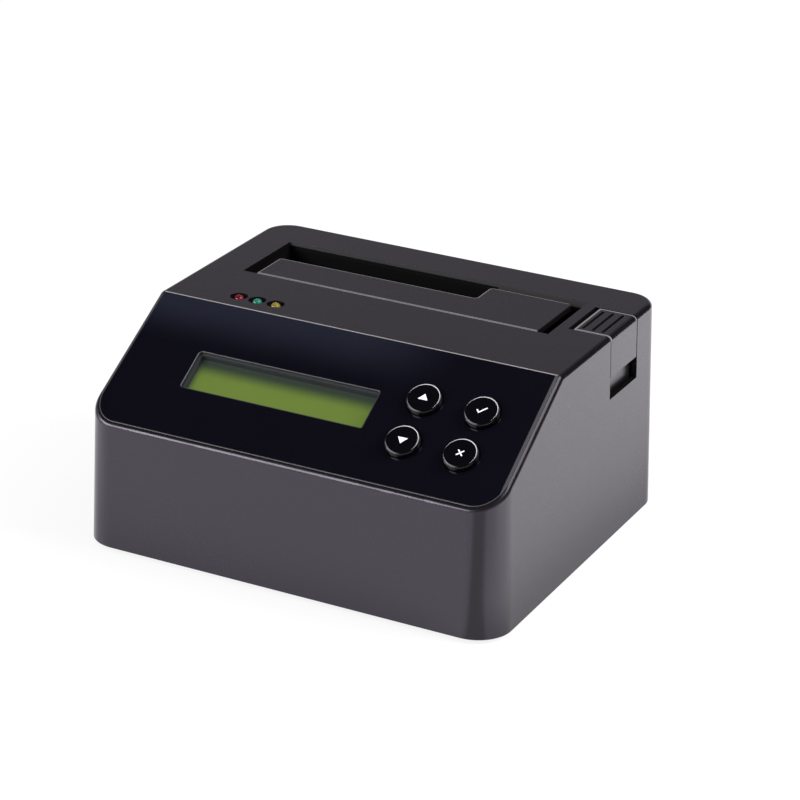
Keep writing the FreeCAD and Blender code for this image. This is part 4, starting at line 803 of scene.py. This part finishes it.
class DOCK_OT_underside(bpy.types.Operator):
    """Rubber feet and the screws beside them"""
    bl_idname = "dock.underside"
    bl_label = "Underside"

    def execute(self, context):
        form = context.scene.dock_form
        self.feet(form)
        self.screws(form)
        return {"FINISHED"}

    def feet(self, form):
        low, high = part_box("rubber_feet")
        points = [vertex.co for vertex in NODES["rubber_feet"].data.vertices]
        inner = min(point.x for point in points if point.x > 0)
        radius = (high.x - inner) / 2
        edge = form.foot_edge
        turns = [step * math.pi / 12 for step in range(7)]
        arc = [(radius - edge + edge * math.sin(turn), edge - edge * math.cos(turn)) for turn in turns]
        hollow, hollow_end, rim_start = 0.2 * MM, 0.55 * radius, 0.62 * radius
        profile = [(0, hollow), (hollow_end, hollow), (rim_start, 0), *arc, (radius, high.z), (0, high.z)]
        mesh = in_rows(mesh_of(turned(profile)), "rubber", 2, 2, high.x - low.x - 2 * radius,
                       high.y - low.y - 2 * radius, (0, 0, 0))
        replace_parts(show("feet", mesh, CASE, "rubber", "rubber"), "rubber_feet")

    def screws(self, form):
        low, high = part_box("case_screws")
        points = [vertex.co for vertex in NODES["case_screws"].data.vertices]
        head = [point for point in points if point.z < low.z + TOUCH and point.x > 0]
        radius = (high.x - min(point.x for point in head)) / 2
        shank = [point for point in points if point.z > high.z - TOUCH and point.x > 0]
        shank_radius = (max(point.x for point in shank) - min(point.x for point in shank)) / 2
        seat = max(point.z for point in points if point.x > high.x - TOUCH) - low.z
        top = high.z - low.z
        edge, reach, width = 0.12 * radius, 1.15 * radius, 0.26 * radius
        profile = [(0, 0), (radius - edge, 0), (radius, edge), (radius, seat), (shank_radius, seat),
                   (shank_radius, top - shank_radius), (0, top)]
        screw = self.crossed(mesh_of(turned(profile)), reach, width, form.screw_recess)
        mesh = in_rows(screw, "steel", 2, 2, high.x - low.x - 2 * radius, high.y - low.y - 2 * radius,
                       (0, 0, low.z))
        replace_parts(show("case_screw_set", mesh, CASE, "steel", "steel"), "case_screws")

    def crossed(self, mesh, reach, width, depth):
        """A screw with a cross sunk into the underside of its head."""
        bm = prism(plus(reach / 2, width / 2), 2 * depth)
        bmesh.ops.translate(bm, verts=bm.verts, vec=(0, 0, -depth))
        cutter = bpy.data.objects.new("cross", mesh_of(bm))
        screw = bpy.data.objects.new("screw", mesh)
        for thing in (cutter, screw):
            bpy.context.scene.collection.objects.link(thing)
        boolean = screw.modifiers.new("cross", "BOOLEAN")
        boolean.object = cutter
        boolean.operation = "DIFFERENCE"
        made = worked(screw)
        for thing in (cutter, screw):
            bpy.data.objects.remove(thing)
        return made


class DOCK_OT_panel(bpy.types.Operator):
    """Polished sheet on the slope"""
    bl_idname = "dock.panel"
    bl_label = "Control panel"

    finishes = "panel panel_rim gasket line"

    def execute(self, context):
        form = context.scene.dock_form
        dress("control_panel", "control_sheet", self.finishes, form.panel_edge,
              work=lambda bm: self.mark(bm, form.rim_highlight_width, form.right_highlight_width, form.window_highlight_width))
        return {"FINISHED"}

    def mark(self, bm, width, right_width, window_width):
        """Paint a highlight rim along the sheet's outline, wider along its right end, line the walls of its window
        and paint a highlight along their front edge.
        """
        rim, gasket, line = range(1, len(self.finishes.split()))
        key_reach = 9 * MM
        keys = [crest(f"key_{name}", OUT) for name in KEY_NAMES]
        low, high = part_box("display_glass")
        top = span("control_panel", UP)[1]

        def in_window(middle):
            return low.x < middle.x < high.x and low.y < middle.y < high.y

        def outline(middle):
            under_top = middle.dot(UP) > top - 2 * width
            by_key = any((middle - key).length <= key_reach for key in keys)
            return not (in_window(middle) or under_top or by_key)

        def front(face):
            return face.normal.dot(OUT) > FLAT

        def window_wall(face):
            return abs(face.normal.dot(OUT)) < 0.1 and in_window(face.calc_center_median())

        # painted highlight: a pale ring inside the sheet's outline, left out under its top edge, in the window and
        # by the keys
        ring(bm, [face for face in bm.faces if front(face)], width, rim, outline)
        points = [vertex.co.copy() for vertex in bm.verts]
        right = sorted(points, key=lambda point: point.x)[-1]
        upper = max((point for point in points if point.dot(UP) > top - TOUCH), key=lambda point: point.x)
        inward = OUT.cross((upper - right).normalized())
        # painted highlight: a wider pale strip along the sheet's right end
        strip(bm, front, right, inward, right_width, rim)
        for face in filter(window_wall, bm.faces):
            face.material_index = gasket
        # painted highlight along the front edge of the window's walls
        strip(bm, window_wall, crest("control_panel", OUT), -OUT, window_width, line)


class DOCK_OT_display(bpy.types.Operator):
    """Display module behind its window"""
    bl_idname = "dock.display"
    bl_label = "Display"

    def execute(self, context):
        self.lining(context.scene.dock_form.gasket_wall)
        paint("display", "display_glass")
        paint("bezel", "display_frame")
        paint("pale", "display_backlight")
        paint("board", "display_board")
        paint("steel", "display_screws")
        return {"FINISHED"}

    def lining(self, wall):
        """A grey frame between the sheet and the glass, around the window."""
        play = 0.02 * MM
        low, high = self.window()
        front = span("control_panel", OUT)[0] - play
        back = span("display_glass", OUT)[1] + play
        bm = prism([(low.x, low.y), (high.x, low.y), (high.x, high.y), (low.x, high.y)], front - back)
        ends = [face for face in bm.faces if abs(face.normal.z) > 0.5]
        bmesh.ops.delete(bm, geom=ends, context="FACES_ONLY")
        bmesh.ops.reverse_faces(bm, faces=bm.faces)
        bmesh.ops.solidify(bm, geom=bm.faces[:], thickness=-wall)
        bmesh.ops.recalc_face_normals(bm, faces=bm.faces)
        origin = Vector((0, 0, 0))
        bmesh.ops.translate(bm, verts=bm.verts, vec=(0, 0, back))
        bmesh.ops.transform(bm, matrix=slope_place(origin), verts=bm.verts)
        show("window_lining", mesh_of(bm), CASE, "bezel", "gasket")

    def window(self):
        """Corners of the sheet's window, across and up the slope."""
        low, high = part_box("display_glass")
        mesh = NODES["control_panel"].data
        walls = [face for face in mesh.polygons if abs(face.normal.dot(OUT)) < 0.1
                 and low.x < face.center.x < high.x and low.y < face.center.y < high.y]
        points = [mesh.vertices[index].co for face in walls for index in face.vertices]
        across = [point.dot(ACROSS) for point in points]
        up = [point.dot(UP) for point in points]
        return Vector((min(across), min(up))), Vector((max(across), max(up)))


class DOCK_OT_keys(bpy.types.Operator):
    """Key caps with their printed marks, and the switches under them"""
    bl_idname = "dock.keys"
    bl_label = "Keys"

    def execute(self, context):
        form = context.scene.dock_form
        for name in KEY_NAMES:
            node = f"key_{name}"
            dress(node, f"{node}_cap", "key", form.key_edge, segments=4)
            face = crest(node, OUT)
            reach = [vertex.co - face for vertex in NODES[node].data.vertices]
            radius = max(arm.length for arm in reach if arm.dot(OUT) > -TOUCH) - form.key_edge / 2
            # painted highlights: the rim and glint crescents are pale inlays in place of light caught on the key's
            # rim
            marks = {
                "rim": (self.crescent(radius, form.crescent, start=-35, end=175), "key_rim"),
                "glint": (self.crescent(radius, form.crescent, start=195, end=285), "key_glint"),
                "mark": (self.outline(name, form.legend_stroke), "legend"),
            }
            for kind, (outline, finish) in marks.items():
                self.inlay(f"{node}_{kind}", outline, node, finish, form.legend_rise)
            paint("pale", f"key_plunger_{name}")
        paint("chip", "key_switches")
        paint("board", "key_board")
        return {"FINISHED"}

    def inlay(self, name, outline, node, finish, rise):
        """A flat mark let into the face of a key."""
        bm = prism(outline, 2 * rise)
        bmesh.ops.translate(bm, verts=bm.verts, vec=(0, 0, -rise))
        bmesh.ops.transform(bm, matrix=slope_place(crest(node, OUT)), verts=bm.verts)
        show(name, mesh_of(bm), node, "key", finish)

    def crescent(self, radius, width, start, end):
        """A crescent along the edge of a key's face, from one bearing in degrees to another, that carries a
        painted highlight.
        """
        turns = [math.radians(bearing) for bearing in range(start, end + 1, 5)]
        outer = [(radius * math.cos(turn), radius * math.sin(turn)) for turn in turns]
        inner = []
        for step, turn in enumerate(turns[1:-1], start=1):
            inside = radius - width * math.sin(math.pi * step / (len(turns) - 1))
            inner.append((inside * math.cos(turn), inside * math.sin(turn)))
        return outer + inner[::-1]

    def outline(self, name, stroke):
        """The mark of a key: a triangle up or down, a tick or a cross."""
        if name in ("up", "down"):
            sign = 1 if name == "up" else -1
            half, foot, tip = 1.62 * MM, 0.78 * MM, 1.45 * MM
            return [(-sign * half, -sign * foot), (sign * half, -sign * foot), (0, sign * tip)]
        diagonal = math.sqrt(0.5)
        if name == "ok":
            short, tall = 1.45 * MM, 3.1 * MM
            tick = [(0, 0), (tall, 0), (tall, stroke), (stroke, stroke), (stroke, short), (0, short)]
            turned_tick = [((x - y) * diagonal, (x + y) * diagonal) for x, y in tick]
            shift_x = (tall - short) * diagonal / 2
            shift_y = tall * diagonal / 2
            return [(x - shift_x, y - shift_y) for x, y in turned_tick]
        arm = 1.35 * MM
        return [((x - y) * diagonal, (x + y) * diagonal) for x, y in plus(arm, stroke / 2)]


class DOCK_OT_lamps(bpy.types.Operator):
    """Lamps with a cup inside each lens"""
    bl_idname = "dock.lamps"
    bl_label = "Lamps"

    def execute(self, context):
        floor, mouth, rim = 0.35 * MM, 0.75 * MM, 0.9 * MM
        dish, foot = 1.0 * MM, 1.6 * MM
        cup = [(0, -dish), (floor, -dish), (mouth, 0), (rim, 0), (rim, -foot), (0, -foot)]
        for name in LAMP_NAMES:
            node = f"lamp_{name}"
            paint(node, node)
            low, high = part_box(node)
            middle = (low + high) / 2
            bm = turned(cup, 24)
            bmesh.ops.translate(bm, verts=bm.verts, vec=(middle.x, middle.y, high.z - foot))
            show(f"{node}_cup", mesh_of(bm), CASE, "steel", "steel")
        paint("board", "lamp_board")
        paint("steel", "lamp_screws")
        return {"FINISHED"}


class DOCK_OT_slot(bpy.types.Operator):
    """Flap over the slot, with its pin and spring"""
    bl_idname = "dock.slot"
    bl_label = "Slot flap"

    def execute(self, context):
        form = context.scene.dock_form
        dress("slot_flap", "flap_plate", "shell line", form.shell_edge,
              work=lambda bm: self.mark(bm, form.shell_edge + form.flap_highlight_width))
        paint("steel", "flap_hinge_pin")
        self.spring()
        return {"FINISHED"}

    def spring(self):
        """The torsion spring, copied as it is from the imported model."""
        coil = piece("flap_coil", NODES["flap_spring"].data.copy(), "steel", "steel")
        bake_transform(coil)
        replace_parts(coil, "flap_spring")

    def mark(self, bm, width):
        """Paint a highlight along the flap's edges, except at its right end, and on the round of its front edge.
        """
        line = 1
        drop = 1 * MM
        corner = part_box("slot_flap")[1]
        flat = [face for face in bm.faces if level_top(face, corner.z)]
        ring(bm, flat, width, line, lambda middle: middle.x < corner.x - 2 * width)
        for face in bm.faces:
            front = face.normal.y < -0.2 and 0.45 < face.normal.z < 0.98
            if front and face.calc_center_median().z > corner.z - drop:
                face.material_index = line


class DOCK_OT_bay(bpy.types.Operator):
    """Drive bay with its connector"""
    bl_idname = "dock.bay"
    bl_label = "Drive bay"

    def execute(self, context):
        form = context.scene.dock_form
        dress("drive_bay", "bay_sleeve", "bay", form.shell_edge)
        dress("drive_connector", "connector_housing", "tray", form.port_edge)
        paint("gilt", "connector_contacts")
        paint("steel", "bay_screws")
        return {"FINISHED"}


class DOCK_OT_eject(bpy.types.Operator):
    """Eject button, its lever and its spring"""
    bl_idname = "dock.eject"
    bl_label = "Eject"

    def execute(self, context):
        form = context.scene.dock_form
        low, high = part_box("eject_button")
        end, side = 0.5 * MM, 4 * MM

        def weigh(edge):
            points = [vertex.co for vertex in edge.verts]
            between_ends = all(low.y + end < point.y < high.y - end for point in points)
            beyond_side = all(point.x > low.x + side for point in points)
            return form.groove_share if between_ends and beyond_side else 1

        dress("eject_button", "eject_push", "shell line worn", form.push_edge, segments=4, weigh=weigh,
              work=lambda bm: self.mark(bm, form.push_edge + form.push_highlight_width))
        dress("eject_lever", "eject_rocker", "tray", form.small_edge)
        paint("steel", "eject_lever_pin")
        self.spring()
        return {"FINISHED"}

    def spring(self):
        """The return spring, copied at its full height into a mesh of its own; the share it would keep with the
        push down is worked out but not used.
        """
        low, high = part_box("eject_spring")
        height = high.z - low.z
        travel = joint("eject_slide")["range_m"][1]
        coil = show("eject_coil", NODES["eject_spring"].data.copy(), CASE, "steel", "steel")
        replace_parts(coil, "eject_spring")
        (height - travel) / height
        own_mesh(coil)

    def mark(self, bm, width):
        """Paint a highlight along the front, rear and inner edges of the push and polish its rolled edge."""
        line, worn = 1, 2
        drop = 3 * MM
        low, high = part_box("eject_button")

        def rolled(face):
            right = face.normal.z > 0.25 and face.normal.x > 0.05
            return right and face.calc_center_median().z > high.z - drop

        def outside(face):
            return level_top(face, high.z) or rolled(face)

        for face in filter(rolled, bm.faces):
            face.material_index = worn
        inner = min(vertex.co.x for face in bm.faces if outside(face) for vertex in face.verts)
        strip(bm, outside, low, Vector((0, 1, 0)), width, line)
        strip(bm, outside, high, Vector((0, -1, 0)), width, line)
        strip(bm, outside, Vector((inner, 0, 0)), Vector((1, 0, 0)), width, line)


class DOCK_OT_ports(bpy.types.Operator):
    """Rear ports and the power button"""
    bl_idname = "dock.ports"
    bl_label = "Rear ports"

    def execute(self, context):
        form = context.scene.dock_form
        dress("power_jack", "power_inlet", "tray", form.port_edge)
        dress("data_port", "data_shell", "steel", form.port_edge)
        dress("data_port_tongue", "data_tongue", "tray", form.port_edge)
        dress("power_button", "power_push", "tray", form.small_edge, segments=3)
        paint("gilt", "power_jack_pin")
        paint("chip", "power_switch")
        return {"FINISHED"}


class DOCK_OT_boards(bpy.types.Operator):
    """Main board with its parts and ribbons"""
    bl_idname = "dock.boards"
    bl_label = "Boards"

    def execute(self, context):
        paint("board", "main_board")
        paint("steel", "board_screws", "clock_crystal", "capacitors")
        paint("chip", "processor_chip", "bridge_chip", "memory_chip", "power_inductor", "buzzer",
              "ribbon_sockets")
        paint("ribbon", "display_ribbon", "key_ribbon", "lamp_ribbon")
        return {"FINISHED"}


class DOCK_OT_stage(bpy.types.Operator):
    """Floor, lights and camera"""
    bl_idname = "dock.stage"
    bl_label = "Stage"

    def execute(self, context):
        stage = context.scene.dock_stage
        self.floor(stage)
        self.room(stage)
        target = Vector(stage.target)
        softboxes = {
            "top_light": ((0.6, 0.2, 1.0), 0.8, 0.6, stage.top_level),
            "right_light": ((0.95, 0.3, 0.75), 0.8, 0.5, stage.side_level),
            "front_light": ((-0.7, -0.78, 0.6), 1.0, 0.4, stage.front_level),
        }
        for name, (place, width, height, brightness) in softboxes.items():
            thing = self.softbox(name, place, target, width, height, brightness)
            thing.visible_glossy = name != "right_light"
        self.camera(stage)
        context.scene.view_settings.view_transform = "Standard"
        return {"FINISHED"}

    def floor(self, stage):
        bm = bmesh.new()
        bmesh.ops.create_grid(bm, x_segments=1, y_segments=1, size=3.0)
        mesh = bpy.data.meshes.new("floor")
        bm.to_mesh(mesh)
        bm.free()
        mesh.materials.append(self.floor_finish(stage))
        thing = bpy.data.objects.new("floor", mesh)
        bpy.context.scene.collection.objects.link(thing)

    def rays(self, graph):
        """Whether a ray comes from the camera, and whether it comes from gloss or clear plastic."""
        path = graph.tree.nodes.new("ShaderNodeLightPath")
        seen, glossy, passed = (Wire(graph, path.outputs[f"Is {kind} Ray"])
                                for kind in ("Camera", "Glossy", "Transmission"))
        return seen, glossy + passed

    def floor_finish(self, stage):
        """A pale floor that the camera sees nearly white, with the shadow left on it, and that gloss mirrors with
        a painted shade.
        """
        material = bpy.data.materials.new("pale_floor")
        material.use_nodes = True
        graph = Graph(material.node_tree)
        seen, mirrored = self.rays(graph)
        matte = graph.node("ShaderNodeBsdfDiffuse", {}, {"Color": (*stage.floor, 1)})
        shadow, share = self.mirrored_floor(graph, stage.mirrored_floor)
        shaded = graph.mix(shadow, stage.cast, (0, 0, 0))
        white = graph.node("ShaderNodeEmission", {},
                           {"Color": graph.mix(seen, shaded, WHITE), "Strength": 1.0})
        both = graph.node("ShaderNodeMixShader", {},
                          {0: seen * stage.seen_floor + mirrored * share, 1: matte, 2: white})
        end = graph.tree.nodes.new("ShaderNodeOutputMaterial")
        graph.tree.links.new(both.socket, end.inputs["Surface"])
        return material

    def mirrored_floor(self, graph, share):
        """Painted shade on the floor as gloss mirrors it, and how little it mirrors the light on it: a dark wedge
        off the front right corner, darker close to the right wall and far out to the right.
        """
        corner_inset = 0.012
        wedge_bearing, wedge_core, wedge_end = (math.radians(turn) for turn in (23, 10, 30))
        right, front = CAD_BOX[1][0], CAD_BOX[0][1]
        place = graph.tree.nodes.new("ShaderNodeSeparateXYZ")
        graph.tree.links.new(graph.node("ShaderNodeTexCoord", out="Object").socket, place.inputs["Vector"])
        aside = Wire(graph, place.outputs["X"]) - (right - corner_inset)
        ahead = (front + corner_inset) - Wire(graph, place.outputs["Y"])
        bearing = graph.node("ShaderNodeMath", {"operation": "ARCTAN2"}, {0: aside, 1: ahead})
        # painted shade: a dark wedge off the case's front right corner, seen only in reflections
        off_wedge = graph.node("ShaderNodeMath", {"operation": "ABSOLUTE"}, {0: bearing - wedge_bearing})
        wedge_shade = graph.fade(off_wedge, wedge_core, wedge_end)
        start, front_end, close_end, far_start = (0.0, 0.016), (-0.01, 0.06), (0.012, 0.047), (0.16, 0.4)
        to_right = (1 - graph.fade(aside, *start)) * graph.fade(ahead, *front_end)
        close = graph.fade(aside, *close_end)
        far = (1 - graph.fade(aside, *far_start)) * to_right
        lit = to_right * (1 - close) * (1 - far)
        # painted shade close to the right wall and far out to the right
        close_dark, lit_part = 0.5, 0.8
        return wedge_shade + to_right * close * close_dark + far, share * (1 - lit * lit_part) + (1 - share) * far

    def room(self, stage):
        """A white backdrop for the camera, pale near the floor and dark overhead in reflections."""
        world = bpy.data.worlds.new("studio")
        world.use_nodes = True
        bpy.context.scene.world = world
        graph = Graph(world.node_tree)
        seen, mirrored = self.rays(graph)
        way = graph.node("ShaderNodeTexCoord", out="Generated")
        aside, behind, height = (graph.node("ShaderNodeSeparateXYZ", {}, {"Vector": way}, out=axis)
                                 for axis in "XYZ")
        heights = ((0.03, 1.0), (0.25, 0.27), (0.5, 0.16), (0.8, 0.03))
        low = graph.node("ShaderNodeValToRGB", {"stops": heights}, {"Fac": height})
        right_start, rear_start, darkening = (-0.1, 0.25), (-0.4, 0.1), 0.9
        rear_right = (1 - graph.fade(aside, *right_start)) * (1 - graph.fade(behind, *rear_start))
        backdrop = low * (1 - darkening * rear_right)
        strength = seen + (1 - seen) * (mirrored * backdrop + (1 - mirrored) * stage.room_level)
        light = graph.node("ShaderNodeBackground", {},
                           {"Color": graph.mix(mirrored, WHITE, stage.cast), "Strength": strength})
        end = graph.tree.nodes.new("ShaderNodeOutputWorld")
        graph.tree.links.new(light.socket, end.inputs["Surface"])

    def softbox(self, name, place, target, width, height, brightness):
        """An area light that lights a white surface facing it to a brightness."""
        away = Vector(place) - target
        lamp = bpy.data.lights.new(name, "AREA")
        lamp.shape = "RECTANGLE"
        lamp.size = width
        lamp.size_y = height
        lamp.energy = brightness * math.pi ** 2 * away.length_squared
        thing = bpy.data.objects.new(name, lamp)
        thing.location = place
        thing.rotation_euler = away.to_track_quat("Z", "Y").to_euler()
        bpy.context.scene.collection.objects.link(thing)
        return thing

    def camera(self, stage):
        az, el, roll = stage.azimuth, stage.elevation, stage.roll
        back = Vector((math.sin(az) * math.cos(el), -math.cos(az) * math.cos(el), math.sin(el)))
        right = Vector((math.cos(az), math.sin(az), 0))
        above = back.cross(right)
        turn = Matrix((math.cos(roll) * right + math.sin(roll) * above,
                       math.cos(roll) * above - math.sin(roll) * right, back)).transposed()
        lens_data = bpy.data.cameras.new("camera")
        lens_data.lens = stage.lens
        lens_data.sensor_width = 36
        lens_data.clip_start = 0.01
        eye = bpy.data.objects.new("camera", lens_data)
        eye.matrix_world = Matrix.Translation(Vector(stage.target) + back * stage.distance) @ turn.to_4x4()
        bpy.context.scene.collection.objects.link(eye)
        bpy.context.scene.camera = eye


OPERATORS = (DOCK_OT_case, DOCK_OT_underside, DOCK_OT_panel, DOCK_OT_display, DOCK_OT_keys, DOCK_OT_lamps,
             DOCK_OT_slot, DOCK_OT_bay, DOCK_OT_eject, DOCK_OT_ports, DOCK_OT_boards, DOCK_OT_stage)


class DOCK_PT_pieces(bpy.types.Panel):
    """Lists the dock's operators"""
    bl_idname = "DOCK_PT_pieces"
    bl_label = "Drive eraser dock"
    bl_space_type = "VIEW_3D"
    bl_region_type = "UI"
    bl_category = "Dock"

    def draw(self, context):
        for operator in OPERATORS:
            self.layout.operator(operator.bl_idname)


GROUPS = {"dock_finish": DockFinish, "dock_form": DockForm, "dock_stage": DockStage}


def register():
    for kind in (*GROUPS.values(), *OPERATORS, DOCK_PT_pieces):
        bpy.utils.register_class(kind)
    for name, group in GROUPS.items():
        setattr(bpy.types.Scene, name, PointerProperty(type=group))


def unregister():
    for name in GROUPS:
        delattr(bpy.types.Scene, name)
    for kind in reversed((*GROUPS.values(), *OPERATORS, DOCK_PT_pieces)):
        bpy.utils.unregister_class(kind)


def main():
    register()
    FINISHES.update(all_finishes(bpy.context.scene.dock_finish))
    for operator in OPERATORS:
        section, name = operator.bl_idname.split(".")
        getattr(getattr(bpy.ops, section), name)()


if __name__ == "__main__":
    main()
